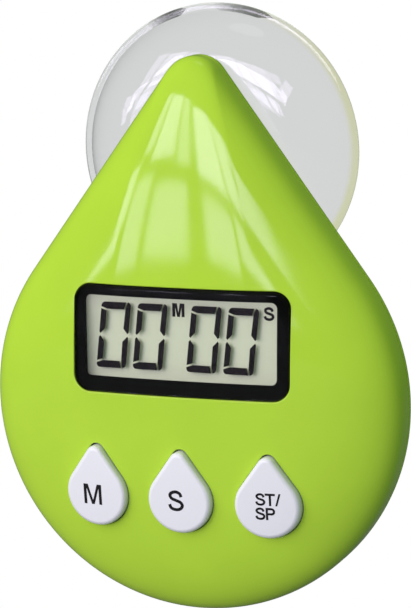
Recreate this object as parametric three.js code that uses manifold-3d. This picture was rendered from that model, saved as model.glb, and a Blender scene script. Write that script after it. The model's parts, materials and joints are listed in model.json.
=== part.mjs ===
// A water-drop shower timer on a clear suction cup, in millimetres.
// X is to the right, +Y points into the wall, +Z is up, and the front faces -Y.
// The origin lies on the wall, in the middle of the suction cup.
import * as THREE from 'three';
import { mergeVertices } from 'three/addons/utils/BufferGeometryUtils.js';
import Module from 'manifold-3d';

const wasm = await Module();
wasm.setup();

// Case: a drop with a round bulb, two straight flanks and a small round tip, seen from the front.
const CASE = { bulb: 35, flank: THREE.MathUtils.degToRad(36.1), tip: 4.95 };
const SIDE_HEIGHT = 3.3;
const DOME_FLATNESS = 2.1;
const DOME_FULLNESS = 3;
const TIP_BLEND = 2;
const SIDE_WALL = 2;
const FRONT_WALL = 2;
const REAR_THICK = 2;
const REAR_EDGE = 1.2;
const SEAM_GAP = 0.1;

// Small gaps: between pieces that only touch, round loose pieces, and round screw threads.
const SEAT_GAP = 0.05;
const FIT_GAP = 0.25;
const THREAD_GAP = 0.12;

// Display: a curved lens over a black mask, then the liquid crystal panel on two rubber connectors.
const DISPLAY_RISE = 10.9;
const LENS = { width: 36.6, height: 17.3, corner: 2.7, thick: 1, proud: 0.45 };
const MASK = { thick: 0.3, side: 2.15, above: 1.7, below: 2.4, corner: 1 };
const WINDOW_MARGIN = 0.3;
const PANEL = { overlap: 1.4, frontGlass: 0.9, backGlass: 0.8, ledge: 2.4, depth: 3.8 };
const PANEL_FRAME = 1;
const CONNECTOR = { shorter: 2, height: 1.8, width: 1.5 };

// Circuit board behind the panel, and what is soldered to it.
const BOARD = { beside: 2.45, above: 4, below: 10.15, thick: 1, inset: 4.2, gap: 0.5 };
const BOARD_BOSS = 2;
const BOARD_SCREW_PAIRS = { upper: 13, lower: 8, fromTop: 1.2, fromBottom: 2.4 };
const CHIP = { radius: 3.6, rise: 1.1, x: 14.5, z: -13.5 };
const CRYSTAL = { radius: 1, length: 6, x: -15.5, z: -9 };
const CAPACITOR = { length: 2, width: 1.25, thick: 0.9, x: -14, z: [-13.5, -16.5] };
const RESISTOR = { length: 1.6, width: 0.8, thick: 0.45, x: -10.5, z: [-15.5, -17.8] };

// Buttons: three white drops in a row, each on a rubber dome.
const BUTTON = { bulb: 5.34, flank: THREE.MathUtils.degToRad(35.4), tip: 1.48 };
const BUTTON_NAMES = ['minutes', 'seconds', 'start_stop'];
const BUTTON_PITCH = 14.7;
const BUTTON_DROP = 14.85;
const BUTTON_PROUD = 1.7;
const FLANGE = { width: 0.9, thick: 0.7, depth: 3.5, rim: 1.1 };
const STEM = { radius: 1.7, length: 0.2 };
const KEY_DOME = { foot: 4, crown: 2, wall: 0.5, skirt: 0.5 };

// Battery: a coin cell in a well of the rear cover, under a twist-off door.
const CELL = { radius: 10, thick: 3.2, rise: 2, gap: 0.3, stepRadius: 8.7, step: 0.6 };
const CONTACT_GAP = 1;
const CONTACT = { thick: 0.25, width: 4, span: 7 };
const DOOR = { overlap: 0.3, thick: 1.4, skirt: 1.2, skirtLength: 2, gap: 0.3 };
const DOOR_SEAL = 0.9;
const COIN_SLOT = { length: 15, width: 2, depth: 0.8 };
const LUG = { count: 2, reach: 0.9, thick: 0.5, halfAngle: THREE.MathUtils.degToRad(13) };
const DOOR_TURN = THREE.MathUtils.degToRad(45);
const WELL_WALL = 1.3;
const RIB = { count: 3, width: 2 };

// Buzzer: a brass disc with a ceramic layer, glued behind the sound holes.
const BUZZER = { radius: 6.75, thick: 0.2, ceramic: 4.5, layer: 0.25, drop: 22 };
const BUZZER_SEAT = { width: 1.2, rise: 0.6 };
const BUZZER_SPRING = { width: 1.2, thick: 0.25, half: 1.5, radius: [2.5, 5.6] };
const SOUND_HOLE = { radius: 0.7, count: 6, circle: 3 };

// Screws: the case is held from behind, the board is held to the front case.
const CASE_SCREW = { shank: 0.85, head: 1.7, headThick: 0.9, length: 6, sink: 0.15 };
const CASE_BOSS = 2.6;
const TIP_SCREW_GAP = 1.4;
const SIDE_SCREWS = [THREE.MathUtils.degToRad(22), THREE.MathUtils.degToRad(-43)];
const BOARD_SCREW = { shank: 0.8, head: 1.5, headThick: 0.8, length: 3.4 };
const DRILL_SPARE = 0.4;

// Seal cord and locating lip along the seam.
const SEAL = { width: 0.9, thick: 0.8 };
const LIP = { width: 1.2, rise: 1.6, gap: 0.2 };

// Suction cup: a thin bell with a neck and a mushroom head that hooks into a keyhole.
const CUP = { radius: 23.9, rim: 1.5, flat: 1.2, height: 7.9, hollow: 5.5, swell: 0.8 };
const CUP_STUD = { neck: 3.5, head: 5, thick: 2.2 };
const CUP_GAP = 0.5;
const CUP_BELOW_TIP = 16.2;
const KEYHOLE = { drop: 9.2, gap: 0.25, entryGap: 0.6, pocketWall: 1.1, floor: 0.8, headRoom: 0.3 };

// Facets.
const TIP_STEPS = 6;
const BULB_STEPS = 28;
const DOME_STEPS = 6;
const CAVITY_STEPS = 4;
const CUP_STEPS = 6;
const EDGE_STEPS = 3;
const CORNER_STEPS = 4;
const SECTOR_STEPS = 6;
const FINE = 24;
const ROUND = 14;
const SMALL = 8;
const MERGE_DISTANCE = 1e-4;
const REACH = 30;

// Places along Y in the case's own frame, where 0 is the rear face and the front is negative.
const CASE_DEPTH = PANEL.depth + PANEL.frontGlass + CONNECTOR.height + BOARD.thick
  + CONTACT_GAP + CELL.thick + CELL.gap + DOOR.thick;
const APEX_Y = -CASE_DEPTH;
const RIM_Y = -SIDE_HEIGHT;
const SEAM_Y = -(REAR_THICK + SEAM_GAP);
const LENS_BACK = LENS.thick - LENS.proud;
const LENS_SEAT = LENS_BACK + MASK.thick + 2 * SEAT_GAP;
const PANEL_Y = APEX_Y + PANEL.depth;
const CONNECTOR_Y = PANEL_Y + PANEL.frontGlass;
const BOARD_Y = CONNECTOR_Y + CONNECTOR.height;
const BOARD_BACK_Y = BOARD_Y + BOARD.thick;
const FLANGE_Y = APEX_Y + FLANGE.depth + SEAT_GAP;
const STEM_END_Y = FLANGE_Y + FLANGE.thick + STEM.length;
const CELL_Y = BOARD_BACK_Y + CONTACT_GAP;
const CELL_BACK_Y = CELL_Y + CELL.thick;
const WELL_END_Y = BOARD_BACK_Y + CELL.gap;
const SKIRT_END_Y = -(DOOR.thick + DOOR.skirtLength);
const DOOR_SEAT_Y = -(DOOR.thick + SEAT_GAP);
const SEAL_SEAT_Y = DOOR_SEAT_Y - DOOR_SEAL - SEAT_GAP;
const BUZZER_Y = -(REAR_THICK + BUZZER_SEAT.rise + SEAT_GAP + BUZZER.thick);
const CERAMIC_Y = BUZZER_Y - BUZZER.layer;
const HEAD_BACK_Y = -(REAR_THICK + KEYHOLE.headRoom);
const HEAD_Y = HEAD_BACK_Y - CUP_STUD.thick;
const POCKET_Y = HEAD_Y - KEYHOLE.headRoom;

// Places and sizes across the front.
const WINDOW = {
  width: LENS.width - 2 * MASK.side,
  height: LENS.height - MASK.above - MASK.below,
  rise: DISPLAY_RISE + (MASK.below - MASK.above) / 2,
};
const PANEL_WIDTH = WINDOW.width + 2 * PANEL.overlap;
const PANEL_HEIGHT = WINDOW.height + 2 * PANEL.overlap;
const BOARD_WIDTH = PANEL_WIDTH + 2 * BOARD.beside;
const BOARD_TOP = WINDOW.rise + PANEL_HEIGHT / 2 + BOARD.above;
const BOARD_BOTTOM = -BUTTON_DROP - BOARD.below;
const BOARD_SCREWS = [];
for (const side of [-1, 1]) {
  BOARD_SCREWS.push([side * BOARD_SCREW_PAIRS.upper, BOARD_TOP - BOARD_SCREW_PAIRS.fromTop]);
  BOARD_SCREWS.push([side * BOARD_SCREW_PAIRS.lower, BOARD_BOTTOM + BOARD_SCREW_PAIRS.fromBottom]);
}
const TIP_TOP = (CASE.bulb - CASE.tip) / Math.sin(CASE.flank) + CASE.tip;
const CUP_RISE = TIP_TOP - CUP_BELOW_TIP;
const CUP_STANDOFF = CUP.height + CUP_GAP;
const NECK_HOLE = CUP_STUD.neck + KEYHOLE.gap;
const HEAD_HOLE = CUP_STUD.head + KEYHOLE.entryGap;
const POCKET_OUTER = HEAD_HOLE + KEYHOLE.pocketWall;
const CASE_SCREW_CIRCLE = CASE.bulb - SIDE_WALL - CASE_BOSS;
const CASE_SCREWS = [[0, CUP_RISE + POCKET_OUTER + TIP_SCREW_GAP + CASE_BOSS]];
for (const angle of SIDE_SCREWS) {
  for (const side of [-1, 1]) {
    CASE_SCREWS.push([side * CASE_SCREW_CIRCLE * Math.cos(angle), CASE_SCREW_CIRCLE * Math.sin(angle)]);
  }
}
const SKIRT_INNER = CELL.radius + CELL.gap;
const SKIRT_OUTER = SKIRT_INNER + DOOR.skirt;
const WELL_INNER = SKIRT_OUTER + DOOR.gap;
const SEAL_ROOM = SKIRT_OUTER + DOOR_SEAL + DOOR.gap;
const LUG_OUTER = SKIRT_OUTER + LUG.reach;
const CHANNEL_OUTER = LUG_OUTER + DOOR.gap;
const WELL_OUTER = CHANNEL_OUTER + WELL_WALL;
const DOOR_RADIUS = SEAL_ROOM + DOOR.overlap;

// Volume inside a triangle list, negative when its faces point inward.
function signedVolume(points, triangles) {
  const a = new THREE.Vector3();
  const b = new THREE.Vector3();
  const c = new THREE.Vector3();
  let volume = 0;
  for (let i = 0; i < triangles.length; i += 3) {
    a.fromArray(points, 3 * triangles[i]);
    b.fromArray(points, 3 * triangles[i + 1]);
    c.fromArray(points, 3 * triangles[i + 2]);
    volume += a.dot(b.cross(c)) / 6;
  }
  return volume;
}

// A closed geometry as a solid: corners merged, empty triangles dropped, faces turned outward.
function solidOf(geometry) {
  const bare = geometry.clone();
  bare.deleteAttribute('normal');
  bare.deleteAttribute('uv');
  const merged = mergeVertices(bare, MERGE_DISTANCE);
  const points = merged.attributes.position.array;
  const index = merged.index.array;
  const triangles = [];
  for (let i = 0; i < index.length; i += 3) {
    const [a, b, c] = [index[i], index[i + 1], index[i + 2]];
    if (a !== b && b !== c && c !== a) triangles.push(a, b, c);
  }
  if (signedVolume(points, triangles) < 0) triangles.reverse();
  return new wasm.Manifold(new wasm.Mesh({
    numProp: 3,
    vertProperties: points,
    triVerts: Uint32Array.from(triangles),
  }));
}

function geometryOf(solid) {
  const mesh = solid.getMesh();
  const geometry = new THREE.BufferGeometry();
  geometry.setAttribute('position', new THREE.Float32BufferAttribute(mesh.vertProperties, 3));
  geometry.setIndex(Array.from(mesh.triVerts));
  geometry.computeVertexNormals();
  return geometry;
}

// A flat shape, drawn in X and Z, carried from the depth yFront back to yBack.
function prism(shape, yFront, yBack, steps = CORNER_STEPS) {
  const geometry = new THREE.ExtrudeGeometry(shape, {
    depth: yBack - yFront,
    bevelEnabled: false,
    curveSegments: steps,
  });
  geometry.rotateX(Math.PI / 2);
  geometry.translate(0, yBack, 0);
  return solidOf(geometry);
}

// A profile of [radius, y] pairs turned about an axis along Y through x and z.
function turned(profile, x = 0, z = 0, sides = ROUND) {
  const geometry = new THREE.LatheGeometry(profile.map(([r, y]) => new THREE.Vector2(r, y)), sides);
  geometry.translate(x, 0, z);
  return solidOf(geometry);
}

function disc(radius, yFront, yBack, x = 0, z = 0, sides = ROUND) {
  return turned([[0, yFront], [radius, yFront], [radius, yBack], [0, yBack]], x, z, sides);
}

function tube(outer, inner, yFront, yBack, x = 0, z = 0, sides = ROUND) {
  const profile = [[inner, yFront], [outer, yFront], [outer, yBack], [inner, yBack], [inner, yFront]];
  return turned(profile, x, z, sides);
}

function block(width, depth, height, x, y, z) {
  const geometry = new THREE.BoxGeometry(width, depth, height);
  geometry.translate(x, y, z);
  return solidOf(geometry);
}

// A block between two depths, centred at x and z.
function slab(width, height, yFront, yBack, x, z) {
  return block(width, yBack - yFront, height, x, (yFront + yBack) / 2, z);
}

function roundedRectangle(width, height, corner, z) {
  const shape = new THREE.Shape();
  const right = width / 2 - corner;
  const top = height / 2 - corner;
  shape.absarc(right, z + top, corner, 0, Math.PI / 2);
  shape.absarc(-right, z + top, corner, Math.PI / 2, Math.PI);
  shape.absarc(-right, z - top, corner, Math.PI, 1.5 * Math.PI);
  shape.absarc(right, z - top, corner, 1.5 * Math.PI, 2 * Math.PI);
  return shape;
}

// Part of a ring between two angles, measured from +X towards +Z about x and z.
function sector(inner, outer, start, end, yFront, yBack, z) {
  const shape = new THREE.Shape();
  shape.absarc(0, z, outer, start, end);
  shape.absarc(0, z, inner, end, start, true);
  return prism(shape, yFront, yBack, SECTOR_STEPS);
}

// The outline of a drop grown by an offset, as points round its tip, flanks and bulb.
function dropPoints(drop, offset = 0, tipSteps = TIP_STEPS, bulbSteps = BULB_STEPS) {
  const tipRise = (drop.bulb - drop.tip) / Math.sin(drop.flank);
  const points = [];
  const arc = (radius, rise, start, end, steps) => {
    for (let i = 0; i <= steps; i += 1) {
      const angle = start + ((end - start) * i) / steps;
      points.push(new THREE.Vector2(radius * Math.cos(angle), rise + radius * Math.sin(angle)));
    }
  };
  arc(drop.tip + offset, tipRise, drop.flank, Math.PI - drop.flank, tipSteps);
  arc(drop.bulb + offset, 0, Math.PI - drop.flank, 2 * Math.PI + drop.flank, bulbSteps);
  return points;
}

function dropPrism(drop, offset, yFront, yBack, x = 0, z = 0) {
  const [tipSteps, bulbSteps] = drop === CASE ? [TIP_STEPS, BULB_STEPS] : [TIP_STEPS / 2, ROUND];
  const points = dropPoints(drop, offset, tipSteps, bulbSteps);
  return prism(new THREE.Shape(points.map((p) => new THREE.Vector2(p.x + x, p.y + z))), yFront, yBack);
}

// A skin over rings of points from front to back, closed by a fan to the middle at each end.
function loft(rings, frontY, backY) {
  const count = rings[0].length;
  const positions = [0, frontY, 0];
  for (const ring of rings) {
    for (const point of ring) positions.push(point.x, point.y, point.z);
  }
  const last = positions.length / 3;
  positions.push(0, backY, 0);
  const index = [];
  for (let i = 0; i < count; i += 1) {
    const next = (i + 1) % count;
    index.push(0, 1 + i, 1 + next);
    for (let k = 0; k + 1 < rings.length; k += 1) {
      const here = 1 + k * count;
      const there = here + count;
      index.push(here + i, there + i, here + next);
      index.push(here + next, there + i, there + next);
    }
    const end = 1 + (rings.length - 1) * count;
    index.push(end + next, end + i, last);
  }
  const geometry = new THREE.BufferGeometry();
  geometry.setAttribute('position', new THREE.Float32BufferAttribute(positions, 3));
  geometry.setIndex(index);
  return solidOf(geometry);
}

// A domed drop: towards the front its outline shrinks about the bulb's middle and grows rounder.
function domedDrop(inset, apexY, backY, steps) {
  const rim = { bulb: CASE.bulb - inset, flank: CASE.flank, tip: CASE.tip - inset };
  const ringOf = (drop, y) => dropPoints(drop).map((p) => new THREE.Vector3(p.x, y, p.y));
  const rings = [];
  for (let step = steps - 1; step >= 0; step -= 1) {
    const scale = 1 - (step / steps) ** 3;
    const bulb = rim.bulb * scale;
    const tip = bulb * (1 - (1 - rim.tip / rim.bulb) * scale ** TIP_BLEND);
    const rise = (1 - scale ** DOME_FLATNESS) ** (1 / DOME_FULLNESS);
    rings.push(ringOf({ bulb, flank: rim.flank, tip }, RIM_Y - (RIM_Y - apexY) * rise));
  }
  rings.push(ringOf(rim, backY));
  return loft(rings, apexY, backY);
}

const outerForm = domedDrop(0, APEX_Y, SEAM_Y, DOME_STEPS);

// The case's front form moved back by an amount, for what follows its curve.
function frontForm(back) {
  return outerForm.translate([0, back, 0]);
}

function buttonPlace(number) {
  return [(number - 1) * BUTTON_PITCH, -BUTTON_DROP];
}

function union(solids) {
  return solids.reduce((sum, solid) => sum.add(solid));
}

// Front case: domed shell with a display frame, button guides and screw bosses inside.
function frontCase() {
  const panelClear = 2 * FIT_GAP;
  const frameGrowth = panelClear + 2 * PANEL_FRAME;
  const flangeClear = FLANGE.width + FIT_GAP;
  const guideEnd = FLANGE_Y + FLANGE.thick;
  const seats = [
    slab(PANEL_WIDTH + frameGrowth, PANEL_HEIGHT + frameGrowth, APEX_Y - LENS.proud,
      CONNECTOR_Y, 0, WINDOW.rise),
    ...CASE_SCREWS.map(([x, z]) => disc(CASE_BOSS, APEX_Y, SEAM_Y, x, z)),
    ...BOARD_SCREWS.map(([x, z]) => disc(BOARD_BOSS, APEX_Y, BOARD_Y - SEAT_GAP, x, z)),
  ];
  const cuts = [
    slab(PANEL_WIDTH + panelClear, PANEL_HEIGHT + panelClear, PANEL_Y - SEAT_GAP, 0, 0, WINDOW.rise),
    prism(roundedRectangle(WINDOW.width + 2 * WINDOW_MARGIN, WINDOW.height + 2 * WINDOW_MARGIN,
      MASK.corner, WINDOW.rise), APEX_Y - REACH, PANEL_Y),
    prism(roundedRectangle(LENS.width + 2 * FIT_GAP, LENS.height + 2 * FIT_GAP, LENS.corner + FIT_GAP,
      DISPLAY_RISE), APEX_Y - REACH, PANEL_Y).subtract(frontForm(LENS_SEAT)),
    dropPrism(CASE, -(SIDE_WALL - SEAL.width) / 2, SEAM_Y - SEAL.thick, 0)
      .subtract(dropPrism(CASE, -(SIDE_WALL + SEAL.width) / 2, SEAM_Y - REACH, REACH)),
    ...CASE_SCREWS.map(([x, z]) => disc(CASE_SCREW.shank + THREAD_GAP,
      -(CASE_SCREW.sink + CASE_SCREW.headThick + CASE_SCREW.length + DRILL_SPARE), 0, x, z, SMALL)),
    ...BOARD_SCREWS.map(([x, z]) => disc(BOARD_SCREW.shank + THREAD_GAP,
      BOARD_BACK_Y - BOARD_SCREW.length - DRILL_SPARE, BOARD_Y, x, z, SMALL)),
  ];
  BUTTON_NAMES.forEach((name, number) => {
    const [x, z] = buttonPlace(number);
    seats.push(dropPrism(BUTTON, flangeClear + FLANGE.rim, APEX_Y, guideEnd, x, z));
    cuts.push(dropPrism(BUTTON, FIT_GAP, APEX_Y - REACH, 0, x, z));
    cuts.push(dropPrism(BUTTON, flangeClear, FLANGE_Y - SEAT_GAP, 0, x, z));
  });
  const cavity = domedDrop(SIDE_WALL, APEX_Y + FRONT_WALL, REACH, CAVITY_STEPS);
  return outerForm.subtract(cavity.subtract(union(seats))).subtract(union(cuts));
}

// Rear cover: flat drop with a rounded edge, a battery well, a keyhole pocket and a buzzer seat.
function rearCover() {
  const rings = [dropPoints(CASE).map((p) => new THREE.Vector3(p.x, -REAR_THICK, p.y))];
  for (let step = 0; step <= EDGE_STEPS; step += 1) {
    const angle = (Math.PI / 2) * (step / EDGE_STEPS);
    const outline = dropPoints(CASE, -REAR_EDGE * (1 - Math.cos(angle)));
    const y = -REAR_EDGE * (1 - Math.sin(angle));
    rings.push(outline.map((p) => new THREE.Vector3(p.x, y, p.y)));
  }
  const lipOuter = SIDE_WALL + LIP.gap;
  const lipFront = -REAR_THICK - LIP.rise;
  let lip = dropPrism(CASE, -lipOuter, lipFront, -REAR_THICK)
    .subtract(dropPrism(CASE, -lipOuter - LIP.width, -REACH, REACH));
  for (const [x, z] of CASE_SCREWS) {
    lip = lip.subtract(disc(CASE_BOSS + FIT_GAP, -REACH, SEAM_Y + SEAT_GAP, x, z));
  }
  const pocketFront = POCKET_Y - KEYHOLE.floor;
  const added = [
    lip,
    disc(WELL_OUTER, WELL_END_Y, -REAR_THICK, 0, CELL.rise, FINE),
    keyholePrism(POCKET_OUTER, POCKET_OUTER, pocketFront, -REAR_THICK),
    tube(BUZZER.radius, BUZZER.radius - BUZZER_SEAT.width, -REAR_THICK - BUZZER_SEAT.rise, -REAR_THICK,
      0, -BUZZER.drop),
  ];
  const cuts = [
    keyholePrism(HEAD_HOLE, HEAD_HOLE, POCKET_Y, -REAR_THICK),
    keyholePrism(NECK_HOLE, HEAD_HOLE, -REAR_THICK - SEAT_GAP, REACH),
    wellCut(),
    ...CASE_SCREWS.map(([x, z]) => caseScrewHole(x, z)),
    disc(SOUND_HOLE.radius, -REACH, REACH, 0, -BUZZER.drop, SMALL),
  ];
  for (let hole = 0; hole < SOUND_HOLE.count; hole += 1) {
    const angle = (2 * Math.PI * hole) / SOUND_HOLE.count;
    const x = SOUND_HOLE.circle * Math.cos(angle);
    const z = SOUND_HOLE.circle * Math.sin(angle) - BUZZER.drop;
    cuts.push(disc(SOUND_HOLE.radius, -REACH, REACH, x, z, SMALL));
  }
  return loft(rings, -REAR_THICK, 0).add(union(added)).subtract(union(cuts)).add(wellRibs());
}

// A round seat at the pivot, a slot down from it and a round entry hole at the slot's foot.
function keyholePrism(seatRadius, entryRadius, yFront, yBack) {
  const entryRise = CUP_RISE - KEYHOLE.drop;
  const seat = disc(seatRadius, yFront, yBack, 0, CUP_RISE);
  const entry = disc(entryRadius, yFront, yBack, 0, entryRise);
  const slot = slab(2 * seatRadius, KEYHOLE.drop, yFront, yBack, 0, CUP_RISE - KEYHOLE.drop / 2);
  return union([seat, entry, slot]);
}

function caseScrewHole(x, z) {
  const headY = -(CASE_SCREW.sink + CASE_SCREW.headThick + SEAT_GAP);
  const shank = disc(CASE_SCREW.shank + FIT_GAP, -REACH, REACH, x, z, SMALL);
  return shank.add(disc(CASE_SCREW.head + FIT_GAP, headY, REACH, x, z, SMALL));
}

// The room for the door, its seal, its lugs and the cell.
function wellCut() {
  const lugTop = SKIRT_END_Y + LUG.thick;
  const slack = DOOR.gap / LUG_OUTER;
  const cuts = [
    disc(DOOR_RADIUS + DOOR.gap, DOOR_SEAT_Y, REACH, 0, CELL.rise, FINE),
    disc(SEAL_ROOM, SEAL_SEAT_Y, REACH, 0, CELL.rise, FINE),
    disc(WELL_INNER, -REACH, REACH, 0, CELL.rise, FINE),
  ];
  for (let lug = 0; lug < LUG.count; lug += 1) {
    const middle = (2 * Math.PI * lug) / LUG.count;
    const start = middle - LUG.halfAngle - slack - DOOR_TURN;
    const end = middle + LUG.halfAngle + slack;
    const entry = start + 2 * (LUG.halfAngle + slack);
    cuts.push(sector(SKIRT_INNER, CHANNEL_OUTER, start, end,
      SKIRT_END_Y - DOOR.gap, lugTop + SEAT_GAP, CELL.rise));
    cuts.push(sector(SKIRT_INNER, CHANNEL_OUTER, start, entry,
      SKIRT_END_Y, SEAL_SEAT_Y + SEAT_GAP, CELL.rise));
  }
  return union(cuts);
}

// Upright ribs in the well that centre the cell below the door's skirt.
function wellRibs() {
  const ribBack = SKIRT_END_Y - 2 * DOOR.gap;
  const ribs = [];
  for (let rib = 0; rib < RIB.count; rib += 1) {
    const angle = Math.PI / 2 + (2 * Math.PI * rib) / RIB.count;
    const half = RIB.width / 2 / CELL.radius;
    ribs.push(sector(CELL.radius + FIT_GAP, CHANNEL_OUTER + FIT_GAP, angle - half, angle + half,
      WELL_END_Y, ribBack, CELL.rise));
  }
  return union(ribs);
}

function caseSeal() {
  const inner = (SIDE_WALL + SEAL.width) / 2 - SEAT_GAP;
  const outer = (SIDE_WALL - SEAL.width) / 2 + SEAT_GAP;
  const front = SEAM_Y - SEAL.thick + SEAT_GAP;
  return dropPrism(CASE, -outer, front, -REAR_THICK - SEAT_GAP)
    .subtract(dropPrism(CASE, -inner, -REACH, REACH));
}

function lensOutline() {
  return prism(roundedRectangle(LENS.width, LENS.height, LENS.corner, DISPLAY_RISE), APEX_Y - REACH, PANEL_Y);
}

function windowOutline() {
  return prism(roundedRectangle(WINDOW.width, WINDOW.height, MASK.corner, WINDOW.rise),
    APEX_Y - REACH, PANEL_Y);
}

function displayLens() {
  return lensOutline().intersect(frontForm(-LENS.proud)).subtract(frontForm(LENS_BACK));
}

function displayMask() {
  const front = LENS_BACK + SEAT_GAP;
  const frame = lensOutline().subtract(windowOutline());
  return frame.intersect(frontForm(front)).subtract(frontForm(front + MASK.thick));
}

// Liquid crystal panel: a front glass, and a lower back glass that leaves a ledge above and below.
function displayPanel() {
  const backHeight = PANEL_HEIGHT - 2 * PANEL.ledge;
  const front = slab(PANEL_WIDTH, PANEL_HEIGHT, PANEL_Y, CONNECTOR_Y, 0, WINDOW.rise);
  return front.add(slab(PANEL_WIDTH, backHeight, PANEL_Y, CONNECTOR_Y + PANEL.backGlass, 0, WINDOW.rise));
}

function connector(side) {
  const z = WINDOW.rise + side * (PANEL_HEIGHT - PANEL.ledge) / 2;
  return slab(PANEL_WIDTH - CONNECTOR.shorter, CONNECTOR.width,
    CONNECTOR_Y + SEAT_GAP, BOARD_Y - SEAT_GAP, 0, z);
}

function circuitBoard() {
  const middle = (BOARD_TOP + BOARD_BOTTOM) / 2;
  const cuts = [
    ...CASE_SCREWS.map(([x, z]) => disc(CASE_BOSS + BOARD.gap, -REACH, REACH, x, z)),
    ...BOARD_SCREWS.map(([x, z]) => disc(BOARD_SCREW.shank + FIT_GAP, -REACH, REACH, x, z, SMALL)),
  ];
  return dropPrism(CASE, -BOARD.inset, BOARD_Y, BOARD_BACK_Y)
    .intersect(slab(BOARD_WIDTH, BOARD_TOP - BOARD_BOTTOM, -REACH, REACH, 0, middle))
    .subtract(union(cuts));
}

// Drop of black resin over the bare chip, on the back of the board.
function chipBlob() {
  const y = BOARD_BACK_Y + SEAT_GAP;
  const profile = [[0, y], [CHIP.radius, y]];
  for (let step = 1; step <= EDGE_STEPS; step += 1) {
    const angle = (Math.PI / 2) * (step / EDGE_STEPS);
    profile.push([CHIP.radius * Math.cos(angle), y + CHIP.rise * Math.sin(angle)]);
  }
  profile[profile.length - 1][0] = 0;
  return turned(profile, CHIP.x, CHIP.z);
}

// Quartz crystal in a small can that lies on the board.
function crystal() {
  const geometry = new THREE.CylinderGeometry(CRYSTAL.radius, CRYSTAL.radius, CRYSTAL.length, SMALL);
  geometry.rotateX(Math.PI / 2);
  geometry.translate(CRYSTAL.x, BOARD_BACK_Y + CRYSTAL.radius + SEAT_GAP, CRYSTAL.z);
  return solidOf(geometry);
}

function chipPart(part, z) {
  const front = BOARD_BACK_Y + SEAT_GAP;
  return slab(part.length, part.width, front, front + part.thick, part.x, z);
}

// Button: a drop whose face follows the case, with a flange that keeps it in and a stem for its dome.
function button(number) {
  const [x, z] = buttonPlace(number);
  const flangeEnd = FLANGE_Y + FLANGE.thick;
  const cap = dropPrism(BUTTON, 0, APEX_Y - REACH, flangeEnd, x, z).intersect(frontForm(-BUTTON_PROUD));
  const flange = dropPrism(BUTTON, FLANGE.width, FLANGE_Y, flangeEnd, x, z);
  return union([cap, flange, disc(STEM.radius, FLANGE_Y, STEM_END_Y, x, z)]);
}

// Rubber dome: a hollow cone under the button's stem, open towards the board.
function keyDome(number) {
  const [x, z] = buttonPlace(number);
  const top = STEM_END_Y + SEAT_GAP;
  const foot = BOARD_Y - SEAT_GAP;
  const skirt = foot - KEY_DOME.skirt;
  const profile = [
    [0, top],
    [KEY_DOME.crown, top],
    [KEY_DOME.foot - KEY_DOME.wall, skirt],
    [KEY_DOME.foot, skirt],
    [KEY_DOME.foot, foot],
    [KEY_DOME.foot - 2 * KEY_DOME.wall, foot],
    [KEY_DOME.crown - KEY_DOME.wall, top + KEY_DOME.wall],
    [0, top + KEY_DOME.wall],
  ];
  return turned(profile, x, z);
}

// Coin cell: the can fills the rear and the side, the smaller cap faces the board.
function coinCell() {
  const profile = [
    [0, CELL_Y],
    [CELL.stepRadius, CELL_Y],
    [CELL.stepRadius, CELL_Y + CELL.step],
    [CELL.radius, CELL_Y + CELL.step],
    [CELL.radius, CELL_BACK_Y],
    [0, CELL_BACK_Y],
  ];
  return turned(profile, 0, CELL.rise, FINE);
}

// A bent strip, drawn as [across, y] points of its middle line and given its thickness along Y.
function strip(points, thick, width, x, z) {
  const shape = new THREE.Shape();
  points.forEach(([across, y], i) => (i ? shape.lineTo(across, y) : shape.moveTo(across, y)));
  [...points].reverse().forEach(([across, y]) => shape.lineTo(across, y + thick));
  const geometry = new THREE.ExtrudeGeometry(shape, { depth: width, bevelEnabled: false });
  geometry.translate(x, 0, z - width / 2);
  return solidOf(geometry);
}

// Leaf on the board that rises to press on the cell's cap.
function contactNegative() {
  const low = BOARD_BACK_Y + SEAT_GAP;
  const high = CELL_Y - CONTACT.thick - SEAT_GAP;
  const points = [[-CONTACT.span, low], [-CONTACT.span / 2, low], [0, high], [CONTACT.span / 4, high]];
  return strip(points, CONTACT.thick, CONTACT.width, 0, CELL.rise);
}

// Upright tab beside the cell's can, with a foot on the board.
function contactPositive() {
  const low = BOARD_BACK_Y + SEAT_GAP;
  const inner = CELL.radius + SEAT_GAP;
  const foot = WELL_INNER - SEAT_GAP - inner;
  const tabEnd = SKIRT_END_Y - DOOR.gap;
  const tab = slab(CONTACT.thick, CONTACT.width, low, tabEnd, inner + CONTACT.thick / 2, CELL.rise);
  return tab.add(slab(foot, CONTACT.width, low, low + CONTACT.thick, inner + foot / 2, CELL.rise));
}

// Battery door: a disc with a coin slot, a skirt round the cell and two lugs that lock it.
function batteryDoor() {
  const plate = disc(DOOR_RADIUS, -DOOR.thick, 0, 0, CELL.rise, FINE);
  const skirt = tube(SKIRT_OUTER, SKIRT_INNER, SKIRT_END_Y, -DOOR.thick, 0, CELL.rise, FINE);
  const slot = slab(COIN_SLOT.length, COIN_SLOT.width, -COIN_SLOT.depth, REACH, 0, CELL.rise);
  const lugs = [];
  for (let lug = 0; lug < LUG.count; lug += 1) {
    const middle = (2 * Math.PI * lug) / LUG.count;
    const inner = SKIRT_OUTER - DOOR.skirt / 2;
    lugs.push(sector(inner, LUG_OUTER, middle - LUG.halfAngle, middle + LUG.halfAngle,
      SKIRT_END_Y, SKIRT_END_Y + LUG.thick, CELL.rise));
  }
  return union([plate, skirt, ...lugs]).subtract(slot);
}

function doorSeal() {
  const inner = SKIRT_OUTER + SEAT_GAP;
  const back = -DOOR.thick - SEAT_GAP;
  return tube(inner + DOOR_SEAL, inner, back - DOOR_SEAL, back, 0, CELL.rise, FINE);
}

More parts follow.
